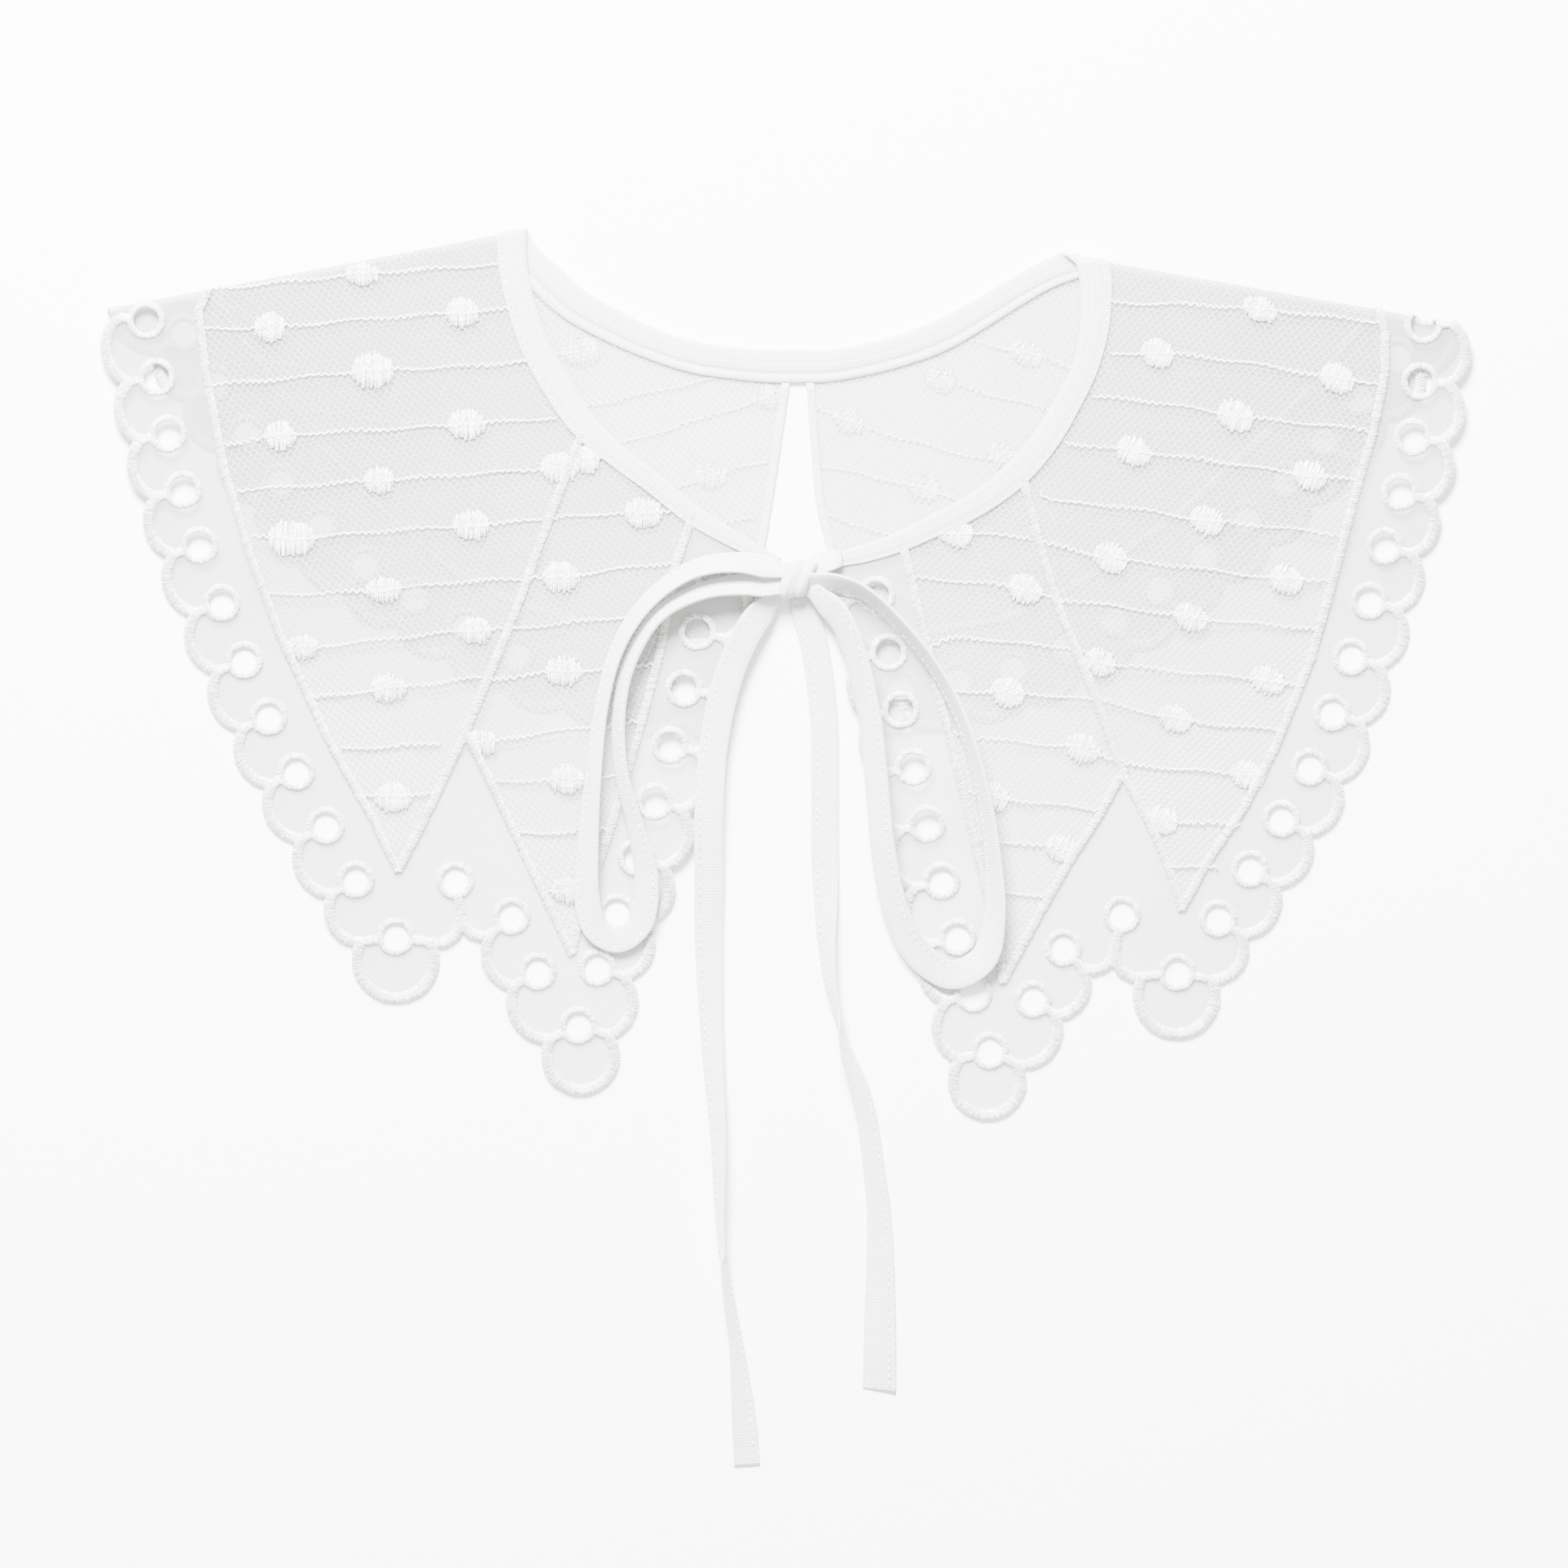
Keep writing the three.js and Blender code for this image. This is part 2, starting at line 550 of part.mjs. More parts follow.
function splitAtCorners(triangle, points, inCut) {
  for (let i = 0; i < 3; i += 1) {
    const [a, b, c] = [0, 1, 2].map((k) => triangle[(i + k) % 3]);
    const cut = inCut.find((corners) => corners.includes(a) && corners.includes(b));
    const between = cut?.find((corner) => liesBetween(points[corner], points[a], points[b]));
    if (between !== undefined) {
      const halves = [[a, between, c], [between, b, c]];
      return halves.flatMap((part) => splitAtCorners(part, points, inCut));
    }
  }
  return [triangle];
}

function liesBetween(point, start, end) {
  const [from, to, place] = [start, end, point].map((corner) => new THREE.Vector3(...corner));
  const onEdge = new THREE.Line3(from, to).closestPointToPoint(place, true, new THREE.Vector3());
  return onEdge.distanceTo(place) < SEWING_REACH && !isNear(point, start) && !isNear(point, end);
}

// Bends a place round the shoulder fold, and lets the front come down to the floor
// past the rim of the back
function bent([x, y, height], half) {
  const fold = foldLine(half);
  const ahead = past(fold, [x, y]);
  const angle = THREE.MathUtils.clamp(ahead / FOLD_RADIUS, -Math.PI / 2, Math.PI / 2);
  const flat = Math.max(Math.abs(ahead) - FOLD_REACH, 0);
  const away = FOLD_REACH - (FOLD_RADIUS + height) * Math.cos(angle) + flat;
  const place = plus([x, y], fold.ahead, away - ahead);
  const slope = THREE.MathUtils.clamp(past(rimLine(half), [x, y]) / SLOPE_LENGTH, 0, 1);
  const down = slope * (FRONT_LEVEL - BACK_LEVEL);
  return [...place, FOLD_LEVEL + (FOLD_RADIUS + height) * Math.sin(angle) - down];
}

function geometryOf({ points, triangles }) {
  const geometry = new THREE.BufferGeometry();
  geometry.setAttribute('position', new THREE.Float32BufferAttribute(points.flat(), 3));
  geometry.setIndex(triangles.flat());
  return geometry;
}

// The binding runs from the knot round the whole neck and back to the knot in one
// piece: the two halves are laid and then joined where they overlap at the centre back.
function neckBinding() {
  const [left, right] = [LEFT, RIGHT].map((half) => solid(laid(half, band(neckRoute(half), BINDING))));
  return geometryOf(faces(left.add(right)));
}

// A flat tape along its route: an eight sided section, turned on its edge where the
// route says so
function tape(route) {
  const [wide, thick] = [TIE_WIDTH / 2, TIE_THICK / 2];
  const bevel = thick / 2;
  const section = new THREE.Shape([
    [wide, -bevel], [wide, bevel], [wide - thick, thick], [thick - wide, thick],
    [-wide, bevel], [-wide, -bevel], [thick - wide, -thick], [wide - thick, -thick],
  ].map(([x, y]) => new THREE.Vector2(x, y)));
  const steps = route.length - 1;
  const geometry = new THREE.ExtrudeGeometry(section, { steps, depth: steps, bevelEnabled: false });
  const stations = route.map(([x, y, z]) => new THREE.Vector3(...spot([x, y]), z));
  const position = geometry.attributes.position;
  const up = new THREE.Vector3(0, 0, 1);
  for (let i = 0; i < position.count; i += 1) {
    const k = Math.round(position.getZ(i));
    const along = stations[Math.min(k + 1, steps)].clone().sub(stations[Math.max(k - 1, 0)]).normalize();
    const level = new THREE.Vector3().crossVectors(up, along).normalize();
    const turn = THREE.MathUtils.degToRad(route[k][3]);
    const across = level.clone().applyAxisAngle(along, turn);
    const above = new THREE.Vector3().crossVectors(along, across);
    const place = stations[k].clone();
    place.addScaledVector(across, position.getX(i)).addScaledVector(above, position.getY(i));
    position.setXYZ(i, place.x, place.y, place.z);
  }
  return geometry;
}

// The knot: the tape wrapped round itself, as one rounded block
function knot() {
  const { width, length: long, height, corner, bevel } = KNOT;
  const [x, y] = [width / 2 - bevel, long / 2 - bevel];
  const round = corner - bevel;
  const shape = new THREE.Shape();
  shape.moveTo(-x + round, -y);
  shape.lineTo(x - round, -y).absarc(x - round, -y + round, round, -Math.PI / 2, 0);
  shape.lineTo(x, y - round).absarc(x - round, y - round, round, 0, Math.PI / 2);
  shape.lineTo(-x + round, y).absarc(-x + round, y - round, round, Math.PI / 2, Math.PI);
  shape.lineTo(-x, -y + round).absarc(-x + round, -y + round, round, Math.PI, 1.5 * Math.PI);
  const geometry = new THREE.ExtrudeGeometry(shape, {
    depth: height - 2 * bevel, bevelThickness: bevel, bevelSize: bevel, bevelSegments: 2, curveSegments: 2,
  });
  geometry.translate(...spot([KNOT_PLACE.x, KNOT_PLACE.y]), KNOT_PLACE.bottom + bevel);
  return geometry;
}

// The whole collar
const collar = new THREE.Group();

function add(name, geometry, material) {
  const mesh = new THREE.Mesh(geometry, material);
  mesh.name = name;
  collar.add(mesh);
}

for (const half of [LEFT, RIGHT]) {
  const [neckRoom, hemRoom] = [neckRoute(half), hemRoute(half)].map(roomFor);
  add(`${half.name}_outer_tulle`, laid(half, outerTulle(half)), TULLE);
  add(`${half.name}_inner_tulle`, laid(half, innerTulle(half)), TULLE);
  add(`${half.name}_scalloped_border`, laid(half, border(half)), ORGANZA);
  add(`${half.name}_seam_cords`, laid(half, cutBy(seams(half), [neckRoom, hemRoom])), THREAD);
  add(`${half.name}_slit_hem`, laid(half, cutBy(band(hemRoute(half), SHEET), [neckRoom])), TAPE);
}
add('neck_binding', neckBinding(), TAPE);
add('bow_knot', knot(), TAPE);

// The origin is under the middle of the collar and its knot, on the floor
const box = new THREE.Box3().setFromObject(collar, true);
const middle = box.getCenter(new THREE.Vector3());
collar.position.set(-middle.x, -middle.y, -box.min.z);

for (const [name, route] of Object.entries(TIE_ROUTES)) add(`tie_${name}`, tape(route), TAPE);

export default collar;
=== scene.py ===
# Dresses the peter pan collar: net, organza, satin stitches, threads and tape are laid
# where the CAD says. Lengths are millimetres until a piece is made, and metres after.
import math

import bmesh
import bpy
import numpy as np
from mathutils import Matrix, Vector, geometry


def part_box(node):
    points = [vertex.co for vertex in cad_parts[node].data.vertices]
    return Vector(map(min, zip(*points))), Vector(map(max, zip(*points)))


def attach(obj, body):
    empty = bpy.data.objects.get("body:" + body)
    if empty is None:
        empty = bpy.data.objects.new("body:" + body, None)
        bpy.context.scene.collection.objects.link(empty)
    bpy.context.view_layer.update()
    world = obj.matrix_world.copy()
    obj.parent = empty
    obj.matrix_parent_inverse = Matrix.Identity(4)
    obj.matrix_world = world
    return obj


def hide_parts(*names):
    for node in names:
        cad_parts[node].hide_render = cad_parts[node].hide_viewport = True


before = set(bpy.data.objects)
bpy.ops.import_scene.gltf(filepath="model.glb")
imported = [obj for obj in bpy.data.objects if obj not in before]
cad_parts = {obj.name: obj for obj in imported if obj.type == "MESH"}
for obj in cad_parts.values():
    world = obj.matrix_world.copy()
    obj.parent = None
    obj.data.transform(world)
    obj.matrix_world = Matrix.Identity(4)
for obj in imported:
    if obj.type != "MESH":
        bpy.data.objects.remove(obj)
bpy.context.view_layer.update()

MM = 0.001

# The overall sizes and the photograph's spans that the source uses too
SPAN = 470.0
DROP = 0.651 * SPAN
PHOTO = {"left": 122, "right": 1800, "top": 277, "bottom": 1371}
PHOTO_WIDTH = PHOTO["right"] - PHOTO["left"]
IMAGE = 1920  # the photograph is this many pixels wide and high

# How the layers lie
BACK_LEVEL = 1.0
FRONT_LEVEL = 3.3
FOLD_RADIUS = (FRONT_LEVEL - BACK_LEVEL) / 2
FOLD_LEVEL = (FRONT_LEVEL + BACK_LEVEL) / 2
FOLD_REACH = math.pi / 2 * FOLD_RADIUS
SLOPE_LENGTH = 30.0

# Edge, eyelets, seams, binding and ties
EDGE_WIDTH = 3.5
EYELET_HOLE = 8.2
EYELET_BAND = 2.4
JOINT_REACH = 0.02 * SPAN
NOTCH_REACH = 0.023 * SPAN
SCALLOP_RISE = 0.28
TIP_LOBES = [
    {"neck": 0.051 * SPAN, "base": 0.0043 * SPAN, "reach": 0.0447 * SPAN},
    {"neck": 0.0417 * SPAN, "base": 0.0085 * SPAN, "reach": 0.0472 * SPAN},
]
SEAM_WIDTH = 2.4
HEM_WIDTH = 2.8
BINDING_WIDTH = 10.0
TIE_WIDTH = 10.0
TIE_THICK = 1.2
NET_CELL = {"pitch": 2.45, "rise": 1.05, "side": 0.6, "strand": 0.3}
BINDING_THICK = 1.8
HEM_THICK = 0.8
SHOULDER_BLEND = 15.0
DIP_FRONT = {"place": 0.72, "depth": 0.26}
DIP_BACK = {"place": 0.5, "depth": 0.55}
DIP_TIE = {"place": 0.58, "depth": 0.14}
DIP_HEM = {"place": 0.3, "depth": 0.15}

# Stitches: length, width and height of one, and the way from one to the next
RUNNING_STITCH = (1.9, 0.6, 0.75)
RUNNING_PITCH = 2.6
HEM_STITCH = (1.5, 0.4, 0.4)
HEM_PITCH = 2.2
EDGE_PITCH = 0.5
SEAM_PITCH = 0.6
STEM_WIDTH = 3.3
STEM_END = EYELET_HOLE / 2 + 1.6
RING_STITCHES = 54
DOT_PITCH = 0.85
DOT_LEVEL = 0.2
DOT_HEIGHT = {"front": 0.7, "back": 0.55}
# The back layer lies close to the floor, so the raised stitches on it are flatter
BACK_STITCH = {"level": 0.1, "height": 1.6}
LOWEST = 0.02

# Wavy threads
THREAD_RADIUS = 0.45
THREAD_RISE = 0.42
THREAD_STEP = 0.36

# Cloth: the triangles' size, and how far the veil lies under the net's strands
SHEET_STEP = 5.0
VEIL_DEPTH = 0.2

# The tails' cut ends get thinner and lie down over this length
TAPER_LENGTH = 12.0
TAPER_DROP = 0.68

CENTRE_BACK = (977, 447, 1.15)

LEFT = {
    "name": "left",
    "outward": -1,
    "fold": [(140, 373), (646, 277)],
    "neck_front": [
        (953, 690, 0.45), (922, 673, 0.5), (888, 654, 0.62), (847, 629, 0.7),
        (800, 591, 0.75), (754, 556, 0.82), (712, 517, 0.95), (684, 475, 1.05),
        (656, 425, 1.0), (638, 372, 0.98), (628, 325, 1.0), (627, 281, 1.0),
    ],
    "neck_back": [
        (640, 310, 1.1), (672, 344, 1.22), (701, 370, 1.2), (750, 398, 1.15),
        (801, 421, 1.08), (853, 437, 1.1), (905, 444, 1.12), (945, 447, 1.15),
    ],
    "outer_front": [
        (256, 351), (243, 380), (253, 461), (275, 576), (309, 686), (343, 778),
        (404, 910), (456, 1002), (487, 1066),
    ],
    "outer_back": [
        (905, 790), (848, 786), (786, 779), (728, 766), (672, 752), (607, 727),
        (548, 695), (475, 632), (414, 566), (350, 487), (290, 405),
    ],
    "valley": [(487, 1066), (519, 1004), (550, 938), (570, 896)],
    "middle": [(570, 896), (593, 841), (630, 752), (672, 636), (712, 530)],
    "inner_down": [(568, 890), (594, 944), (650, 1063), (700, 1168)],
    "inner_up": [
        (700, 1168), (709, 1126), (747, 1016), (781, 901), (807, 803), (827, 693),
        (849, 628),
    ],
    "first_eyelet": (842, 845),
    "runs": [
        ("back", (649, 807), (446, 690), 6, "joint"),
        ("back", (340, 585), (224, 405), 5, "joint"),
        ("front", None, (179, 391), 1, "joint"),
        ("front", (206, 532), (244, 667), 4, "joint"),
        ("front", (328, 877), (435, 1077), 6, "joint"),
        ("front", None, (484, 1147), 1, "tip"),
        ("front", None, (557, 1078), 1, "notch"),
        ("front", None, (626, 1122), 1, "joint"),
        ("front", None, (658, 1190), 1, "joint"),
        ("front", None, (708, 1256), 1, "tip"),
        ("front", None, (731, 1185), 1, "joint"),
        ("front", (803, 976), (854, 773), 6, "joint"),
        ("front", None, (874, 706), 1, "joint"),
    ],
    "edge_ends": {"back": (884, 893), "front": (936, 700)},
    "slit": [(967, 468), (938, 659), (911, 800), (891, 897)],
    "rim": [(55, 503), (880, 1045)],
    "net_turn": 12,
    "stitch_slant": 0,
}

RIGHT = {
    "name": "right",
    "outward": 1,
    "fold": [(1304, 308), (1775, 391)],
    "neck_front": [
        (997, 693, 0.5), (1030, 684, 0.52), (1055, 678, 0.62), (1099, 664, 0.7),
        (1150, 640, 0.8), (1197, 616, 0.86), (1244, 580, 0.95), (1279, 540, 0.95),
        (1309, 490, 0.92), (1331, 442, 0.92), (1342, 380, 1.05), (1336, 315, 1.15),
    ],
    "neck_back": [
        (1314, 322, 1.05), (1286, 333, 1.0), (1251, 352, 1.0), (1200, 383, 1.05),
        (1151, 410, 1.12), (1099, 429, 1.1), (1050, 441, 1.1), (1009, 447, 1.12),
    ],
    "outer_front": [
        (1686, 376), (1696, 404), (1696, 455), (1681, 530), (1657, 613), (1634, 705),
        (1607, 803), (1564, 910), (1523, 990), (1480, 1053), (1447, 1114),
    ],
    "outer_back": [
        (1045, 788), (1100, 781), (1165, 768), (1228, 758), (1283, 736), (1335, 705),
        (1388, 668), (1446, 626), (1500, 576), (1560, 520), (1617, 462), (1664, 402),
    ],
    "valley": [(1447, 1114), (1434, 1070), (1414, 1021), (1394, 981), (1375, 948)],
    "middle": [(1375, 948), (1339, 846), (1294, 737), (1268, 647), (1252, 582)],
    "inner_down": [(1377, 942), (1346, 999), (1309, 1056), (1268, 1128), (1228, 1203)],
    "inner_up": [
        (1228, 1203), (1224, 1160), (1202, 1068), (1174, 947), (1146, 835), (1119, 723),
        (1103, 655),
    ],
    "first_eyelet": (1103, 841),
    "runs": [
        ("back", (1243, 816), (1364, 757), 4, "joint"),
        ("back", (1537, 624), (1711, 434), 7, "joint"),
        ("front", None, (1743, 397), 1, "joint"),
        ("front", (1730, 535), (1677, 735), 5, "joint"),
        ("front", (1606, 935), (1492, 1125), 6, "joint"),
        ("front", None, (1442, 1191), 1, "tip"),
        ("front", None, (1374, 1120), 1, "notch"),
        ("front", None, (1302, 1161), 1, "joint"),
        ("front", None, (1265, 1224), 1, "joint"),
        ("front", None, (1212, 1287), 1, "tip"),
        ("front", None, (1192, 1217), 1, "joint"),
        ("front", (1133, 1003), (1073, 728), 7, "joint"),
    ],
    "edge_ends": {"back": (1073, 891), "front": (1022, 708)},
    "slit": [(987, 468), (1000, 619), (1012, 670), (1042, 800), (1065, 897)],
    "rim": [(1041, 1032), (1851, 508)],
    "net_turn": -10,
    "stitch_slant": 24,
}
HALVES = (LEFT, RIGHT)

# Wavy threads: rows of places; one with a width and a height is a satin dot on the row
ROWS_FRONT = {
    "left": [
        [(250, 355), (444, 335, 40, 26), (610, 323)],
        [(250, 402), (331, 400, 37, 35), (450, 390), (566, 382, 40, 34), (622, 378)],
        [(258, 471), (350, 463), (456, 453, 50, 42), (550, 449), (645, 442)],
        [(274, 544), (343, 533, 38, 34), (460, 526), (572, 519, 44, 36), (681, 511)],
        [(290, 600), (380, 594), (464, 588, 36, 33), (580, 580), (685, 572, 44, 36)],
        [(309, 657), (357, 659, 56, 42), (460, 651), (577, 643, 42, 36)],
        [(577, 643), (665, 636)],
        [(329, 728), (400, 726), (470, 722, 42, 30), (570, 712), (640, 709)],
        [(346, 790), (371, 792, 36, 30), (470, 783), (554, 774), (582, 772, 40, 32),
         (616, 768)],
        [(377, 855), (475, 843, 44, 32), (540, 836), (590, 829)],
        [(418, 917), (480, 914), (540, 910)],
        [(435, 973), (481, 976, 44, 34), (536, 969)],
        [(700, 566), (718, 562, 34, 34), (742, 558)],
        [(677, 636), (700, 631), (788, 628, 44, 36), (838, 622)],
        [(650, 708), (687, 706, 44, 36), (760, 696), (822, 689)],
        [(628, 770), (700, 762), (767, 755), (812, 750)],
        [(600, 832), (690, 822, 44, 34), (733, 820), (800, 812)],
        [(574, 912), (590, 910, 34, 32), (660, 898), (721, 891), (780, 884)],
        [(607, 957), (650, 956), (694, 955, 42, 34), (766, 948)],
        [(632, 1020), (680, 1020), (712, 1018), (744, 1014)],
        [(672, 1092), (694, 1091, 36, 32), (722, 1088)],
    ],
    "right": [
        [(1350, 368), (1363, 370), (1450, 372), (1543, 378, 42, 28), (1690, 394)],
        [(1359, 434), (1418, 432, 40, 34), (1530, 444), (1638, 463, 42, 34),
         (1694, 469)],
        [(1339, 485), (1430, 494), (1513, 509, 46, 36), (1600, 518), (1683, 527)],
        [(1304, 542), (1389, 552, 42, 34), (1500, 566), (1604, 582, 42, 34),
         (1667, 588)],
        [(1273, 600), (1284, 610), (1380, 621), (1478, 637, 42, 34), (1560, 645),
         (1644, 655)],
        [(1276, 664), (1360, 683, 42, 34), (1470, 696), (1575, 709, 42, 34),
         (1632, 709)],
        [(1292, 733), (1300, 734), (1380, 744), (1458, 756, 42, 32), (1620, 770)],
        [(1318, 793), (1347, 811, 38, 32), (1377, 815), (1460, 824),
         (1553, 833, 42, 32), (1592, 841)],
        [(1342, 857), (1345, 857), (1439, 880, 42, 32), (1500, 888), (1574, 894)],
        [(1369, 932), (1377, 935), (1450, 942), (1528, 949, 42, 32), (1545, 950)],
        [(1406, 1000), (1423, 1004, 38, 32), (1519, 1011)],
        [(1432, 1061), (1492, 1063)],
        [(1108, 652), (1170, 652, 42, 34), (1262, 658)],
        [(1117, 707), (1180, 712), (1255, 721, 42, 34), (1288, 732)],
        [(1139, 793), (1170, 781), (1240, 787), (1312, 793)],
        [(1156, 846), (1234, 848, 42, 34), (1290, 852), (1338, 857)],
        [(1168, 897), (1198, 903), (1260, 910), (1326, 916, 42, 34), (1362, 930)],
        [(1186, 970), (1216, 976, 40, 34), (1280, 984), (1345, 992)],
        [(1201, 1028), (1240, 1032), (1301, 1040, 40, 32), (1314, 1042)],
        [(1216, 1091), (1234, 1093), (1282, 1098)],
    ],
}
ROWS_BACK = {
    "left": [
        [(886, 459), (722, 495), (600, 512), (480, 515), (372, 500)],
        [(942, 485, 38, 30), (763, 541), (640, 572), (520, 590), (440, 585)],
        [(942, 564), (870, 582, 38, 32), (830, 597), (700, 640), (575, 660), (500, 648)],
        [(926, 630), (886, 640), (760, 685), (640, 715), (575, 706)],
        [(710, 429, 46, 38), (560, 450), (420, 455), (330, 440)],
        [(920, 715), (800, 745), (690, 752)],
        [(610, 400), (450, 395), (300, 390)],
    ],
    "right": [
        [(998, 495), (1039, 515, 38, 30), (1217, 561), (1227, 556, 38, 30),
         (1350, 575), (1500, 565)],
        [(1003, 569), (1131, 597, 40, 32), (1161, 607), (1300, 640), (1420, 640)],
        [(1014, 630), (1069, 648), (1200, 690), (1330, 702)],
        [(1151, 464, 38, 30), (1284, 500), (1420, 525), (1540, 520)],
        [(1187, 416), (1258, 431, 38, 32), (1314, 449), (1450, 460), (1600, 450)],
        [(1030, 700), (1140, 740), (1240, 748)],
    ],
}

# The ties' routes, as in the source: x, y, height and turn on the tape's edge in degrees
TIE_ROUTES = {
    "left_loop": [
        (952, 697, 7.6, 30), (905, 689, 8.7, 45), (850, 697, 9.0, 50), (796, 734, 9.0, 50),
        (758, 790, 9.0, 50), (738, 860, 8.9, 48), (728, 940, 8.5, 42), (720, 1040, 6.4, 30),
        (719, 1100, 4.8, 14), (730, 1139, 3.7, 4), (757, 1153, 3.4, 0), (784, 1132, 3.9, -8),
        (792, 1080, 5.5, -20), (778, 1010, 7.6, -34), (762, 950, 8.8, -46),
        (758, 880, 9.2, -54), (770, 815, 9.3, -56), (806, 754, 9.3, -56),
        (860, 724, 9.0, -50), (912, 716, 8.4, -40), (952, 718, 7.6, -30),
    ],
    "right_loop": [
        (998, 712, 8.3, 40), (1050, 722, 9.4, 62), (1106, 770, 9.6, 68), (1151, 830, 9.6, 68),
        (1182, 895, 9.6, 68), (1204, 975, 8.8, 66), (1216, 1055, 7.6, 60),
        (1218, 1122, 6.6, 46), (1204, 1174, 4.8, 20), (1166, 1194, 3.4, 0),
        (1128, 1172, 3.9, -10), (1099, 1122, 5.3, -26), (1082, 1045, 7.5, -36),
        (1074, 965, 8.4, -40), (1065, 880, 8.6, -42), (1048, 805, 8.6, -42),
        (1028, 757, 8.4, -38), (1003, 730, 7.2, -24),
    ],
    "left_tail": [
        (944, 735, 5.4, -30), (918, 770, 6.4, -14), (893, 825, 5.9, -6), (874, 910, 5.4, 0),
        (868, 1000, 5.3, 0), (868, 1080, 2.9, 0), (868, 1150, 1.0, 0), (869, 1240, 0.9, 0),
        (872, 1330, 2.3, 18), (879, 1405, 4.0, 42), (882, 1450, 4.5, 52),
        (885, 1500, 3.8, 38), (891, 1580, 1.7, 10), (899, 1660, 0.9, 0),
        (907, 1735, 0.9, 0), (915, 1798, 0.9, 0),
    ],
    "right_tail": [
        (979, 722, 1.7, 0), (997, 790, 1.2, 0), (1008, 870, 0.9, 0), (1010, 960, 0.9, 0),
        (1010, 1050, 0.9, 0), (1013, 1130, 1.5, 8), (1018, 1190, 3.5, 34),
        (1027, 1245, 4.6, 54), (1036, 1295, 4.3, 48), (1048, 1350, 2.5, 20),
        (1060, 1430, 0.9, 0), (1068, 1520, 0.9, 0), (1073, 1610, 0.9, 0),
        (1077, 1706, 0.9, 0),
    ],
}
KNOT_PLACE = (975, 709)
TWIST = [
    (984, 702, 5.6, -10), (998, 696, 5.8, -25), (1009, 689, 5.9, -40), (1020, 685, 5.6, -25),
    (1031, 684, 5.0, -5),
]


# The tails roll over: the photograph's y, the turn in degrees, the width's share and how
# many pixels the tape strays to the side
TURNS = {
    "left_tail": [
        (1150, 0, 1.0, 0), (1265, 10, 0.8, 2), (1350, 30, 0.7, 4), (1450, 55, 0.66, -1),
        (1500, 70, 0.72, -3), (1535, 78, 0.8, -3), (1548, 102, 0.8, -2), (1583, 115, 0.7, 0),
        (1617, 125, 0.62, 2), (1650, 138, 0.6, 4), (1683, 150, 0.68, 4), (1717, 162, 0.78, 4),
        (1750, 172, 0.86, 3), (1798, 180, 0.9, 0),
    ],
    "right_tail": [
        (1050, 0, 0.95, 0), (1100, 12, 0.85, 0), (1150, 35, 0.75, -2), (1210, 60, 0.68, -3),
        (1248, 76, 0.72, -1), (1262, 102, 0.72, 0), (1290, 122, 0.72, 2), (1333, 140, 0.8, 8),
        (1367, 150, 0.76, 10), (1433, 165, 0.74, 10), (1483, 175, 0.82, 11), (1550, 180, 0.95, 8),
        (1617, 180, 1.08, 4), (1706, 180, 1.16, 0),
    ],
}
# The width's share at each place of a loop's route
GATHERS = {
    "left_loop": [1, 1, 1, 0.85, 0.75, 0.65, 0.7, 0.86, 0.92, 0.85, 0.8, 0.85, 0.9, 0.62, 0.6,
                  0.68, 0.75, 0.85, 0.9, 1, 1],
}
END_SLANT = {"right_tail": -0.2}


# Places
def spot(x, y):
    across = x - (PHOTO["left"] + PHOTO["right"]) / 2
    up = (PHOTO["top"] + PHOTO["bottom"]) / 2 - y
    return np.array([
        across * SPAN / PHOTO_WIDTH,
        up * DROP / (PHOTO["bottom"] - PHOTO["top"]),
    ])


KNOT_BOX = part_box("bow_knot")
KNOT_CENTRE = (np.array(KNOT_BOX[0]) + np.array(KNOT_BOX[1])) / 2
SHIFT = np.array([*(KNOT_CENTRE[:2] / MM - spot(*KNOT_PLACE)), 0.0])


def in_frame(points):
    """Millimetres over the collar's middle to metres in the row frame."""
    return (np.asarray(points, float) + SHIFT) * MM


def unit(vector):
    return vector / np.linalg.norm(vector, axis=-1, keepdims=True)


def turned(vector):
    return np.stack([vector[..., 1], -vector[..., 0]], -1)


def heading(points):
    """The way a line of points runs at each of them."""
    return unit(np.gradient(points, axis=0))


def chords(points):
    """The way from the point before to the point after, at each point."""
    before = np.vstack([points[:1], points[:-1]])
    after = np.vstack([points[1:], points[-1:]])
    return unit(after - before)


def raised(places, height):
    """Flat places with one height, or with a height each."""
    return np.column_stack([places, np.broadcast_to(height, len(places))])


def line_through(places):
    start, end = (spot(*place) for place in places)
    return start, turned(unit(end - start))


def past(line, points):
    start, ahead = line
    return (points[..., :2] - start) @ ahead


def unfolded(half, place):
    line = line_through(half["fold"])
    point = spot(*place)
    return point - 2 * past(line, point) * line[1]


def on_cloth(half, layer, place):
    return unfolded(half, place) if layer == "back" else spot(*place)


def swell(points):
    """A gentle unevenness of the top layer, in millimetres."""
    x, y = points[..., 0], points[..., 1]
    return 0.2 * np.sin(x / 17 + 0.6) * np.sin(y / 23 + 1.1) + 0.1 * np.sin(x / 9 - y / 13)


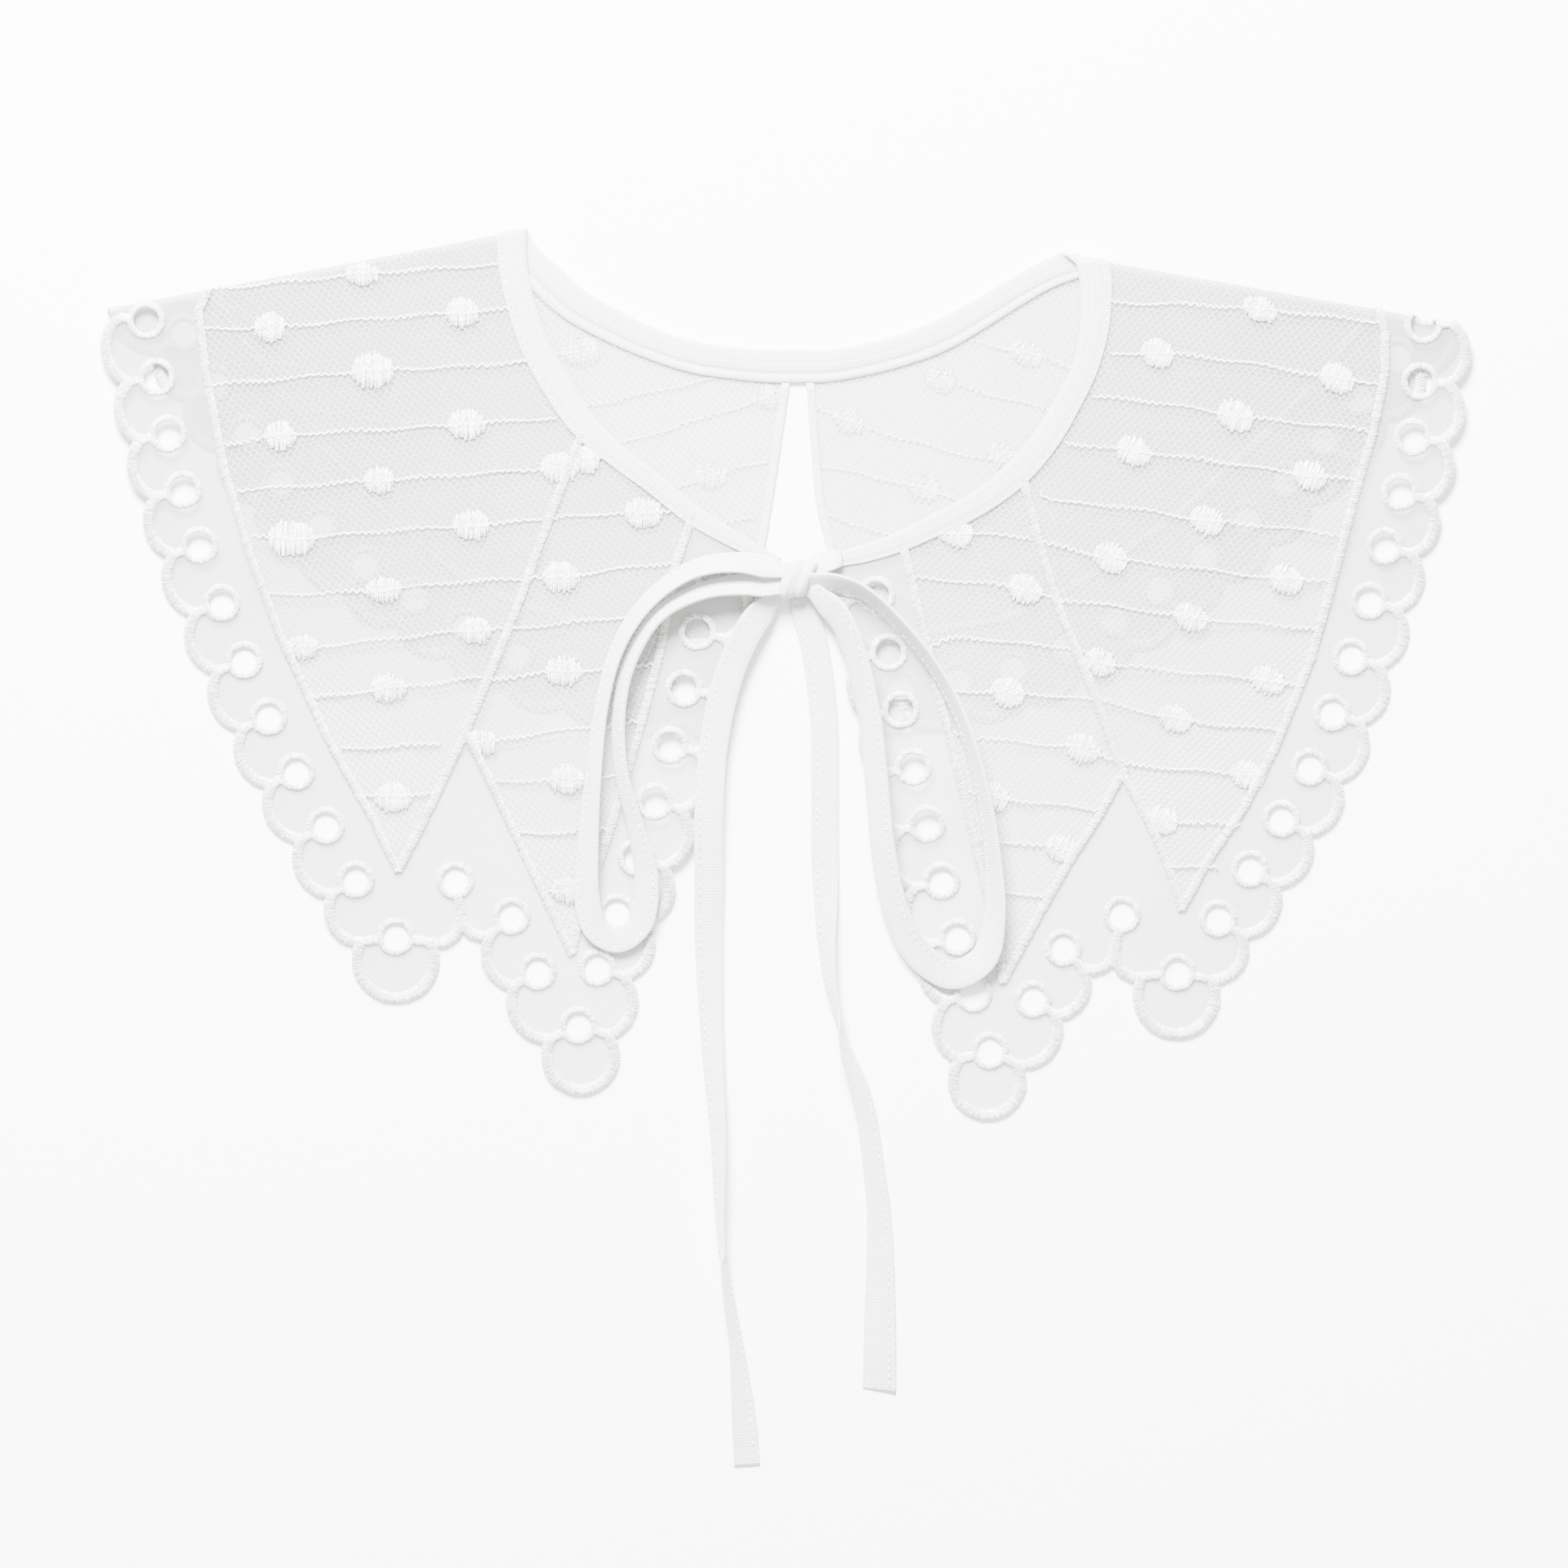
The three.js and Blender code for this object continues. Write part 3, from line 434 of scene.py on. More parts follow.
def lay(half, points):
    """Bends places on the unfolded cloth round the shoulder fold, as the source does."""
    points = np.asarray(points, float)
    line = line_through(half["fold"])
    ahead = past(line, points)
    height = points[..., 2]
    angle = np.clip(ahead / FOLD_RADIUS, -math.pi / 2, math.pi / 2)
    flat = np.maximum(np.abs(ahead) - FOLD_REACH, 0)
    away = FOLD_REACH - (FOLD_RADIUS + height) * np.cos(angle) + flat
    place = points[..., :2] + (away - ahead)[..., None] * line[1]
    slope = np.clip(past(line_through(half["rim"]), points) / SLOPE_LENGTH, 0, 1)
    down = slope * (FRONT_LEVEL - BACK_LEVEL)
    level = FOLD_LEVEL + (FOLD_RADIUS + height) * np.sin(angle) - down
    level = level + np.clip((ahead - FOLD_REACH) / 20, 0, 1) * swell(place)
    return np.concatenate([place, level[..., None]], -1)


def lengths_along(points):
    steps = np.linalg.norm(np.diff(points, axis=0), axis=1)
    return np.concatenate([[0], np.cumsum(steps)])


def spaced(points, step, count=None):
    """Points at even steps along a line of points, all of whose values are carried."""
    points = np.asarray(points, float)
    along = lengths_along(points[:, :3])
    steps = count or max(round(along[-1] / step), 1)
    stations = np.linspace(0, along[-1], steps + 1)
    return np.stack([np.interp(stations, along, column) for column in points.T], 1)


def smooth_line(rows, fine=24):
    """A centripetal Catmull-Rom line through rows, as the source's CatmullRomCurve3."""
    rows = np.asarray(rows, float)
    rows = np.vstack([2 * rows[0] - rows[1], rows, 2 * rows[-1] - rows[-2]])
    made = []
    for p0, p1, p2, p3 in zip(rows, rows[1:], rows[2:], rows[3:]):
        pairs = ((p0, p1), (p1, p2), (p2, p3))
        gaps = [max(np.sum((b - a)[:3] ** 2) ** 0.25, 1e-4) for a, b in pairs]
        t1 = (p1 - p0) / gaps[0] - (p2 - p0) / (gaps[0] + gaps[1]) + (p2 - p1) / gaps[1]
        t2 = (p2 - p1) / gaps[1] - (p3 - p1) / (gaps[1] + gaps[2]) + (p3 - p2) / gaps[2]
        t1, t2 = t1 * gaps[1], t2 * gaps[1]
        t = np.linspace(0, 1, fine, endpoint=False)[:, None]
        made.append(p1 + t1 * t + (-3 * p1 + 3 * p2 - 2 * t1 - t2) * t**2
                    + (2 * p1 - 2 * p2 + t1 + t2) * t**3)
    return np.vstack([*made, rows[-2]])


def even_line(points, steps, fine=40):
    """Even steps on a plain Catmull-Rom line, as the source's SplineCurve."""
    points = np.asarray(points, float)
    last = len(points) - 1
    made = []
    for i in range(last):
        p0, p1, p2, p3 = (points[max(i - 1, 0)], points[i], points[i + 1], points[min(i + 2, last)])
        t = np.linspace(0, 1, fine, endpoint=False)[:, None]
        v0, v1 = (p2 - p0) / 2, (p3 - p1) / 2
        made.append((2 * p1 - 2 * p2 + v0 + v1) * t**3 + (-3 * p1 + 3 * p2 - 2 * v0 - v1) * t**2
                    + v0 * t + p1)
    return spaced(np.vstack([*made, points[-1]]), 1, steps)


# The pattern pieces on the unfolded cloth
def eyelet_chain(half):
    points = [unfolded(half, half["first_eyelet"])]
    kinds = ["joint"]
    for layer, via, to, steps, at in half["runs"]:
        stops = [via, to] if via else [to]
        run = even_line([points[-1], *(on_cloth(half, layer, stop) for stop in stops)], steps)
        points.extend(run[1:])
        kinds.extend(["joint"] * (steps - 1) + [at])
    points = np.array(points)
    along = chords(points)
    return points, kinds, along, -half["outward"] * turned(along)


def arc(start, end, outward, rise, steps):
    chord = end - start
    along = unit(chord)
    out = -outward * turned(along)
    half_angle = 2 * math.atan(2 * rise)
    radius = np.linalg.norm(chord) / 2 / math.sin(half_angle)
    centre = start + chord / 2 - out * radius * math.cos(half_angle)
    angles = np.linspace(-half_angle, half_angle, steps + 1)[:, None]
    return centre + radius * (np.sin(angles) * along + np.cos(angles) * out)


def edge_arcs(half, steps):
    """The scallops as arcs, and the stems from the joints to their eyelets."""
    points, kinds, along, out = eyelet_chain(half)
    lobes = iter(TIP_LOBES)
    last = unfolded(half, half["edge_ends"]["back"])
    arcs, stems = [], []
    for point, kind, way, side in zip(points, kinds, along, out):
        if kind == "tip":
            lobe = next(lobes)
            start, end = (
                point + side * lobe["base"] + way * lobe["neck"] / 2 * s for s in (-1, 1)
            )
            arcs.append(arc(last, start, half["outward"], SCALLOP_RISE, steps))
            rise = (lobe["reach"] - lobe["base"]) / lobe["neck"]
            arcs.append(arc(start, end, half["outward"], rise, 2 * steps))
            for joint in (start, end):
                stems.append((joint, point + unit(joint - point) * STEM_END))
            last = end
        else:
            joint = point + side * (NOTCH_REACH if kind == "notch" else JOINT_REACH)
            arcs.append(arc(last, joint, half["outward"], SCALLOP_RISE, steps))
            stems.append((joint, point + side * STEM_END))
            last = joint
    arcs.append(arc(last, spot(*half["edge_ends"]["front"]), half["outward"], SCALLOP_RISE, steps))
    return arcs, stems


def seam_lines(half):
    back = [unfolded(half, place) for place in half["outer_back"]]
    outer = np.array(back + [spot(*place) for place in half["outer_front"]])
    rest = [
        np.array([spot(*place) for place in half[part]])
        for part in ("valley", "middle", "inner_down", "inner_up")
    ]
    return [outer, *rest]


def neck_line(half):
    rows = [[*spot(x, y), share * BINDING_WIDTH] for x, y, share in half["neck_front"]]
    for x, y, share in [*half["neck_back"], CENTRE_BACK]:
        rows.append([*unfolded(half, (x, y)), share * BINDING_WIDTH])
    return smooth_line(rows)


def hem_line(half):
    edge = np.array([unfolded(half, place) for place in half["slit"]])
    return edge + half["outward"] * turned(chords(edge)) * HEM_WIDTH / 2


def nearest(route, point):
    return int(np.argmin(np.linalg.norm(route[:, :2] - point[:2], axis=1)))


def outer_outline(half):
    outer, valley, middle, _, _ = seam_lines(half)
    neck = spaced(neck_line(half), 5)[:, :2]
    meets = nearest(neck, middle[-1])
    return np.vstack([
        outer, valley[1:], middle[1:], neck[meets + 1:-1], hem_line(half)[:-2],
    ])


def inner_outline(half):
    _, _, middle, down, up = seam_lines(half)
    neck = spaced(neck_line(half), 5)[:, :2]
    start, end = nearest(neck, up[-1]), nearest(neck, middle[-1])
    return np.vstack([down, up[1:], neck[start + 1:end], middle[::-1][:-1]])


def border_outline(half):
    outer, valley, _, down, up = seam_lines(half)
    arcs, _ = edge_arcs(half, 10)
    edge = np.vstack([one[1:] for one in arcs])
    return np.vstack([
        hem_line(half)[-1:], edge, [spot(*half["neck_front"][1][:2])], up[1:][::-1],
        down[::-1], valley[:-1][::-1], outer[:-1][::-1],
    ])


def within(outline, points):
    """Which points lie in an outline."""
    inside = np.zeros(len(points), bool)
    for a, b in zip(outline, np.roll(outline, -1, 0)):
        crosses = (a[1] > points[:, 1]) != (b[1] > points[:, 1])
        with np.errstate(divide="ignore", invalid="ignore"):
            at = a[0] + (points[:, 1] - a[1]) * (b[0] - a[0]) / (b[1] - a[1])
        inside ^= crosses & (points[:, 0] < at)
    return inside


def lattice(outline, step):
    low, high = outline.min(0), outline.max(0)
    xs, ys = np.meshgrid(np.arange(low[0], high[0], step), np.arange(low[1], high[1], step))
    return np.stack([xs.ravel(), ys.ravel()], 1)


# Pieces and materials
class Tree:
    """A node tree in the making."""

    def node(self, kind, inputs=None, **facts):
        """A node with its facts set, and its inputs linked or set to plain values."""
        made = self.tree.nodes.new(kind)
        for fact, value in facts.items():
            setattr(made, fact, value)
        for key, value in (inputs or {}).items():
            if isinstance(value, bpy.types.NodeSocket):
                self.link(value, made.inputs[key])
            else:
                made.inputs[key].default_value = value
        return made

    def link(self, source, target):
        self.tree.links.new(source, target)


class Finish(Tree):
    """A material in the making."""

    def __init__(self, name, colour, roughness, **sockets):
        self.material = bpy.data.materials.new(name)
        self.material.use_nodes = True
        self.tree = self.material.node_tree
        self.shader = self.tree.nodes["Principled BSDF"]
        self.shader.inputs["Base Color"].default_value = (*colour, 1)
        self.shader.inputs["Roughness"].default_value = roughness
        for socket, value in sockets.items():
            self.shader.inputs[socket.replace("_", " ")].default_value = value

    def place(self, uv=False):
        return self.node("ShaderNodeTexCoord").outputs["UV" if uv else "Object"]

    def math(self, operation, a, b=None):
        inputs = {0: a} if b is None else {0: a, 1: b}
        return self.node("ShaderNodeMath", inputs, operation=operation).outputs[0]

    def bands(self, place, direction, scale, distortion):
        inputs = {"Vector": place, "Scale": scale, "Distortion": distortion}
        made = self.node("ShaderNodeTexWave", inputs, wave_type="BANDS", bands_direction=direction)
        return made.outputs["Fac"]

    def noise(self, place, scale, detail=2.0):
        inputs = {"Vector": place, "Scale": scale, "Detail": detail}
        return self.node("ShaderNodeTexNoise", inputs).outputs["Fac"]

    def middle(self, place, near, far):
        """1 up to `near` metres to either side of the object's middle, 0 beyond `far`: the mask of
        the painted shade on the cloth's outer sides.
        """
        aside = self.node("ShaderNodeSeparateXYZ", {"Vector": place}).outputs["X"]
        inputs = {"Value": self.math("ABSOLUTE", aside), "From Min": far, "From Max": near}
        return self.node("ShaderNodeMapRange", inputs).outputs["Result"]

    def mixed(self, a, b, share):
        """So much of b, and the rest of a."""
        rest = self.math("MULTIPLY", a, 1 - share)
        return self.math("ADD", rest, self.math("MULTIPLY", b, share))

    def span(self, value, low, high):
        """A value from 0 to 1 spread from low to high."""
        inputs = {"Value": value, "To Min": low, "To Max": high}
        return self.node("ShaderNodeMapRange", inputs).outputs["Result"]

    def tint(self, value, dark, light):
        ramp = self.node("ShaderNodeValToRGB", {"Fac": value})
        ramp.color_ramp.elements[0].color = (*dark, 1)
        ramp.color_ramp.elements[1].color = (*light, 1)
        self.link(ramp.outputs["Color"], self.shader.inputs["Base Color"])

    def bump(self, height, depth, strength=1.0):
        inputs = {"Height": height, "Distance": depth, "Strength": strength}
        made = self.node("ShaderNodeBump", inputs)
        self.link(made.outputs["Normal"], self.shader.inputs["Normal"])


THREAD_WHITE = (0.9, 0.89, 0.87)
CLOTH_WHITE = (0.9, 0.895, 0.88)


def satin_finish():
    """Shiny embroidery thread, a little darker or lighter from stitch to stitch, with painted
    glints and shade on its fibres.
    """
    finish = Finish("satin_thread", THREAD_WHITE, 0.3, Sheen_Weight=0.2)
    place = finish.place()
    fibres = finish.noise(place, 1100, 3)
    # painted glints and shade: high-contrast fibre noise put into the thread's colour
    painted_glint = finish.math("ADD", finish.math("MULTIPLY", fibres, 3.4), -1.15)
    shade = finish.node("ShaderNodeAttribute", attribute_name="shade").outputs["Fac"]
    finish.tint(finish.mixed(shade, painted_glint, 0.65), (0.45, 0.448, 0.44), (1.0, 0.995, 0.98))
    finish.bump(fibres, 0.0004, 1.0)
    return finish.material


def couching_finish():
    finish = Finish("wavy_thread", THREAD_WHITE, 0.45, Sheen_Weight=0.2)
    place = finish.place()
    fibres = finish.noise(place, 1800, 3)
    finish.tint(fibres, (0.6, 0.596, 0.58), (0.86, 0.855, 0.84))
    finish.bump(fibres, 0.0001, 0.6)
    return finish.material


def net_finish():
    finish = Finish("net_strand", THREAD_WHITE, 0.55, Sheen_Weight=0.1)
    place = finish.place()
    finish.tint(finish.noise(place, 900, 2), (0.68, 0.675, 0.66), (0.8, 0.795, 0.78))
    return finish.material


def veil_finish():
    """The net's fine filaments between its strands, too small to model; painted shade makes it
    darker towards the outer sides.
    """
    finish = Finish("net_veil", (0.8, 0.795, 0.78), 0.7)
    place = finish.place()
    clouds = finish.noise(place, 25, 2)
    # painted shade: the veil's colour gets darker away from the collar's middle
    tone = finish.mixed(clouds, finish.middle(place, 0.05, 0.21), 0.75)
    finish.tint(tone, (0.3, 0.298, 0.29), (0.56, 0.557, 0.547))
    finish.link(finish.span(clouds, 0.42, 0.52), finish.shader.inputs["Alpha"])
    return finish.material


def organza_finish():
    finish = Finish("organza", CLOTH_WHITE, 0.5, Sheen_Weight=0.2)
    place = finish.place()
    warp = finish.bands(place, "X", 480, 0.6)
    weft = finish.bands(place, "Y", 480, 0.6)
    weave = finish.math("MULTIPLY", warp, weft)
    clouds = finish.noise(place, 60, 3)
    mixed = finish.mixed(weave, clouds, 0.5)
    # painted shade: the organza's colour gets darker away from the collar's middle
    tone = finish.mixed(mixed, finish.middle(place, 0.05, 0.22), 0.6)
    finish.tint(tone, (0.34, 0.338, 0.33), (0.58, 0.576, 0.566))
    finish.link(finish.span(mixed, 0.54, 0.68), finish.shader.inputs["Alpha"])
    finish.bump(weave, 0.00005, 0.4)
    return finish.material


def tape_finish():
    """Bias tape: fine ribs across the tape and a finer warp along it, by UV in mm."""
    finish = Finish("bias_tape", CLOTH_WHITE, 0.75, Sheen_Weight=0.3)
    place = finish.place(uv=True)
    ribs = finish.bands(place, "Y", 0.3, 2.2)
    warp = finish.bands(place, "X", 0.3, 2.2)
    weave = finish.mixed(ribs, warp, 0.45)
    clouds = finish.noise(place, 1.1, 4)
    mixed = finish.mixed(weave, clouds, 0.5)
    finish.tint(mixed, (0.44, 0.437, 0.427), (0.72, 0.715, 0.7))
    finish.bump(weave, 0.00016, 0.6)
    return finish.material


SATIN = satin_finish()
COUCHING = couching_finish()
NET = net_finish()
VEIL = veil_finish()
ORGANZA = organza_finish()
TAPE = tape_finish()


def raw_mesh(name, points, edges=(), faces=()):
    """A mesh from points in metres."""
    mesh = bpy.data.meshes.new(name)
    mesh.from_pydata(np.asarray(points, float).tolist(), list(edges), list(faces))
    return mesh


def linked(name, data):
    made = bpy.data.objects.new(name, data)
    bpy.context.scene.collection.objects.link(made)
    return made


def helper_of(name, points, faces):
    """A shape for the trees to copy; it doesn't show, and is removed at the end."""
    made = linked(name, raw_mesh(name, points, faces=faces))
    made.hide_render = made.hide_viewport = True
    return made


def corners_of(piece):
    corners = np.empty(len(piece.data.vertices) * 3)
    piece.data.vertices.foreach_get("co", corners)
    return corners.reshape(-1, 3)


def move_corners(piece, corners):
    piece.data.vertices.foreach_set("co", corners.ravel())
    piece.data.update()


def mesh_of(name, points, faces, material, uv=None):
    """A mesh in metres from points in millimetres."""
    mesh = raw_mesh(name, in_frame(points), faces=[list(map(int, face)) for face in faces])
    if uv is not None:
        layer = mesh.uv_layers.new(name="tape")
        corners = np.empty(len(mesh.loops), int)
        mesh.loops.foreach_get("vertex_index", corners)
        layer.data.foreach_set("uv", np.asarray(uv, float)[corners].ravel())
    mesh.materials.append(material)
    mesh.update()
    return mesh


def outwards(mesh):
    """Turns a closed mesh's faces outwards."""
    body = bmesh.new()
    body.from_mesh(mesh)
    bmesh.ops.recalc_face_normals(body, faces=body.faces)
    body.to_mesh(mesh)
    body.free()
    return mesh


def strip_mesh(name, rings, section):
    """A closed tape from rings of points, with UV in millimetres across and along."""
    count, sides = rings.shape[:2]
    faces = [
        (i * sides + j, i * sides + (j + 1) % sides, (i + 1) * sides + (j + 1) % sides,
         (i + 1) * sides + j)
        for i in range(count - 1) for j in range(sides)
    ]
    faces += [tuple(range(sides)), tuple(range((count - 1) * sides, count * sides))]
    along = lengths_along(rings.mean(1))
    around = lengths_along(np.column_stack([section, np.zeros(sides)]))
    uv = np.stack([np.tile(around, count), np.repeat(along, sides)], 1)
    return outwards(mesh_of(name, rings.reshape(-1, 3), faces, TAPE, uv))


def shown(name, mesh, smooth=True):
    if smooth:
        mesh.shade_smooth()
    else:
        mesh.shade_flat()
    return linked(name, mesh)


def declared(piece, slot, *nodes):
    """Every piece rides on the one body and may stand for CAD nodes; the slot is not used."""
    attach(piece, "root")
    if nodes:
        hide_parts(*nodes)
    return piece


def tape_piece(name, rings, section, *nodes):
    return declared(shown(name, strip_mesh(name, rings, section)), "tape", *nodes)


class Growth(Tree):
    """A Geometry Nodes tree in the making, with named inputs."""

    def __init__(self, name, **inputs):
        self.tree = bpy.data.node_groups.new(name, "GeometryNodeTree")
        self.interface = self.tree.interface
        self.interface.new_socket("Geometry", in_out="INPUT", socket_type="NodeSocketGeometry")
        for key, (kind, value) in inputs.items():
            socket = self.interface.new_socket(key, in_out="INPUT", socket_type=kind)
            if value is not None:
                socket.default_value = value
        self.interface.new_socket("Geometry", in_out="OUTPUT", socket_type="NodeSocketGeometry")
        self.start = self.node("NodeGroupInput")
        self.end = self.node("NodeGroupOutput")

    def attribute(self, name, kind):
        made = self.node("GeometryNodeInputNamedAttribute", {"Name": name}, data_type=kind)
        return made.outputs["Attribute"]

    def finish(self, source, smooth):
        """Real mesh, shading and material: the end of every tree."""
        real = self.node("GeometryNodeRealizeInstances", {"Geometry": source})
        shade = self.node("GeometryNodeSetShadeSmooth", {
            "Geometry": real.outputs["Geometry"],
            "Shade Smooth": smooth,
        })
        paint = self.node("GeometryNodeSetMaterial", {
            "Geometry": shade.outputs["Geometry"],
            "Material": self.start.outputs["Finish"],
        })
        self.link(paint.outputs["Geometry"], self.end.inputs["Geometry"])
        return self.tree


def grown(name, tree, mesh, **values):
    """Runs a tree on a mesh and keeps the result as a plain mesh."""
    carrier = linked(name, mesh)
    modifier = carrier.modifiers.new(tree.name, "NODES")
    modifier.node_group = tree
    for item in tree.interface.items_tree:
        if item.item_type == "SOCKET" and item.in_out == "INPUT" and item.name in values:
            modifier[item.identifier] = values[item.name]
    evaluated = carrier.evaluated_get(bpy.context.evaluated_depsgraph_get())
    made = bpy.data.meshes.new_from_object(evaluated)
    carrier.modifiers.remove(modifier)
    carrier.data = made
    made.name = name
    return carrier


def stitch_mesh(name, sections):
    """One satin stitch as a plump grain: unit length on X, width on Y, height on Z."""
    points = [(-0.5, 0, 0)]
    for at, high in sections:
        points += [(at, 0, high), (at, 0.5, 0), (at, 0, -high), (at, -0.5, 0)]
    points.append((0.5, 0, 0))
    faces = [(0, 1 + (i + 1) % 4, 1 + i) for i in range(4)]
    for row in range(len(sections) - 1):
        base = 1 + 4 * row
        for i in range(4):
            j = (i + 1) % 4
            faces.append((base + i, base + j, base + 4 + j, base + 4 + i))
    base, last = 1 + 4 * (len(sections) - 1), len(points) - 1
    faces += [(last, base + i, base + (i + 1) % 4) for i in range(4)]
    return helper_of(name, points, faces)


def stitching_tree():
    """Sets one stitch on each point, turned and sized as the point says, with a little
    seeded unevenness."""
    growth = Growth(
        "stitching", Stitch=("NodeSocketObject", None), Finish=("NodeSocketMaterial", None),
        Unevenness=("NodeSocketFloat", 0.1), Seed=("NodeSocketInt", 1),
    )
    given = growth.start.outputs
    stitch = growth.node("GeometryNodeObjectInfo", {"Object": given["Stitch"]})
    euler = growth.attribute("turn", "FLOAT_VECTOR")
    turn = growth.node("FunctionNodeEulerToRotation", {"Euler": euler})
    inputs = {0: (0.4, 0.4, 1.0), "Scale": given["Unevenness"]}
    spread = growth.node("ShaderNodeVectorMath", inputs, operation="SCALE")
    inputs = {0: spread.outputs["Vector"], "Scale": -1}
    back = growth.node("ShaderNodeVectorMath", inputs, operation="SCALE")
    loose = growth.node("FunctionNodeRandomValue", data_type="FLOAT_VECTOR")
    growth.link(back.outputs["Vector"], loose.inputs["Min"])
    growth.link(spread.outputs["Vector"], loose.inputs["Max"])
    growth.link(given["Seed"], loose.inputs["Seed"])
    shake = growth.node("FunctionNodeEulerToRotation", {"Euler": loose.outputs["Value"]})
    both = growth.node("FunctionNodeRotateRotation", {
        "Rotation": turn.outputs["Rotation"],
        "Rotate By": shake.outputs["Rotation"],
    }, rotation_space="LOCAL")
    inputs = {"Min": 0.92, "Max": 1.08, "Seed": given["Seed"]}
    grow = growth.node("FunctionNodeRandomValue", inputs, data_type="FLOAT")
    inputs = {0: growth.attribute("size", "FLOAT_VECTOR"), "Scale": grow.outputs["Value"]}
    size = growth.node("ShaderNodeVectorMath", inputs, operation="SCALE")
    place = growth.node("GeometryNodeInstanceOnPoints", {
        "Points": given["Geometry"],
        "Instance": stitch.outputs["Geometry"],
        "Rotation": both.outputs["Rotation"],
        "Scale": size.outputs["Vector"],
    })
    tone = growth.node("FunctionNodeRandomValue", {"Seed": given["Seed"]}, data_type="FLOAT")
    shade = growth.node("GeometryNodeStoreNamedAttribute", {
        "Name": "shade",
        "Value": tone.outputs["Value"],
        "Geometry": place.outputs["Instances"],
    }, data_type="FLOAT", domain="INSTANCE")
    return growth.finish(shade.outputs["Geometry"], True)


def cord_tree():
    """Sweeps a round cord along lines of points."""
    growth = Growth(
        "cord", Radius=("NodeSocketFloat", 0.0005), Sides=("NodeSocketInt", 5),
        Finish=("NodeSocketMaterial", None),
    )
    given = growth.start.outputs
    line = growth.node("GeometryNodeMeshToCurve", {"Mesh": given["Geometry"]})
    inputs = {"Resolution": given["Sides"], "Radius": given["Radius"]}
    ring = growth.node("GeometryNodeCurvePrimitiveCircle", inputs, mode="RADIUS")
    sweep = growth.node("GeometryNodeCurveToMesh", {
        "Fill Caps": True,
        "Curve": line.outputs["Curve"],
        "Profile Curve": ring.outputs["Curve"],
    })
    return growth.finish(sweep.outputs["Mesh"], True)


def net_tree():
    """Sets one six-sided cell of net on each point, and joins the cells."""
    growth = Growth(
        "net", Cell=("NodeSocketObject", None), Finish=("NodeSocketMaterial", None),
        Join=("NodeSocketFloat", 0.02),
    )
    given = growth.start.outputs
    cell = growth.node("GeometryNodeObjectInfo", {"Object": given["Cell"]})
    place = growth.node("GeometryNodeInstanceOnPoints", {
        "Points": given["Geometry"],
        "Instance": cell.outputs["Geometry"],
    })
    real = growth.node("GeometryNodeRealizeInstances", {"Geometry": place.outputs["Instances"]})
    joined = growth.node("GeometryNodeMergeByDistance", {
        "Geometry": real.outputs["Geometry"],
        "Distance": given["Join"],
    })
    return growth.finish(joined.outputs["Geometry"], False)


GRAIN = stitch_mesh("satin_grain", [(-0.46, 0.26), (-0.2, 0.5), (0.2, 0.5), (0.46, 0.26)])
SHORT_GRAIN = stitch_mesh("short_grain", [(-0.4, 0.45), (0.4, 0.45)])
STITCHING = stitching_tree()
CORDING = cord_tree()
NETTING = net_tree()


def points_mesh(name, points, turn, size):
    """Points in the row frame that carry each stitch's turn and size."""
    mesh = raw_mesh(name, in_frame(points))
    for key, values in (("turn", turn), ("size", np.asarray(size) * MM)):
        layer = mesh.attributes.new(key, "FLOAT_VECTOR", "POINT")
        layer.data.foreach_set("vector", np.asarray(values, float).ravel())
    return mesh


def eulers(x_axis, y_axis):
    """XYZ Euler angles of the frames with these axes."""
    x_axis = unit(x_axis)
    z_axis = unit(np.cross(x_axis, y_axis))
    y_axis = np.cross(z_axis, x_axis)
    return np.stack([
        np.arctan2(y_axis[:, 2], z_axis[:, 2]),
        -np.arcsin(np.clip(x_axis[:, 2], -1, 1)),
        np.arctan2(x_axis[:, 1], x_axis[:, 0]),
    ], 1)


def pressed(piece):
    """Flattens what would lie under the floor."""
    corners = corners_of(piece)
    corners[:, 2] = np.maximum(corners[:, 2], LOWEST * MM)
    move_corners(piece, corners)
    return piece


class Stitches:
    """Stitches gathered on the unfolded cloth of one half, to be set as one piece."""

    def __init__(self, half):
        self.half = half
        self.places, self.across, self.sizes = [], [], []

    def add(self, places, across, sizes):
        """Places are x, y, height; across is each stitch's way; sizes length, width, height."""
        self.places.append(np.asarray(places, float))
        self.across.append(np.broadcast_to(across, (len(places), 2)))
        self.sizes.append(np.broadcast_to(sizes, (len(places), 3)))

    def along(self, line, width, pitch, height, level=0.2, slant=0.0):
        """A row of stitches across a line."""
        stations = spaced(line, pitch)
        way = heading(stations[:, :2])
        aside = turned(way)
        lean = math.radians(slant)
        across = aside * math.cos(lean) + way * math.sin(lean)
        self.add(raised(stations[:, :2], level), across, (width, pitch * 1.35, height))

    def made(self, name, seed, unevenness=0.1, grain=None):
        places, across = np.vstack(self.places), np.vstack(self.across)
        sizes = np.vstack(self.sizes)
        behind = past(line_through(self.half["fold"]), places) < 0
        if sizes[:, 2].max() > BACK_STITCH["height"]:
            places[behind, 2] = np.minimum(places[behind, 2], BACK_STITCH["level"])
            sizes[behind, 2] = np.minimum(sizes[behind, 2], BACK_STITCH["height"])
        step = 0.05
        here = lay(self.half, places)
        flat = np.zeros((len(places), 1))
        x_axis = lay(self.half, places + step * np.hstack([across, flat])) - here
        y_axis = lay(self.half, places - step * np.hstack([turned(across), flat])) - here
        mesh = points_mesh(name, here, eulers(x_axis, y_axis), sizes)
        made = grown(name, STITCHING, mesh, Stitch=grain or GRAIN, Finish=SATIN,
                     Unevenness=unevenness, Seed=seed)
        return pressed(made)


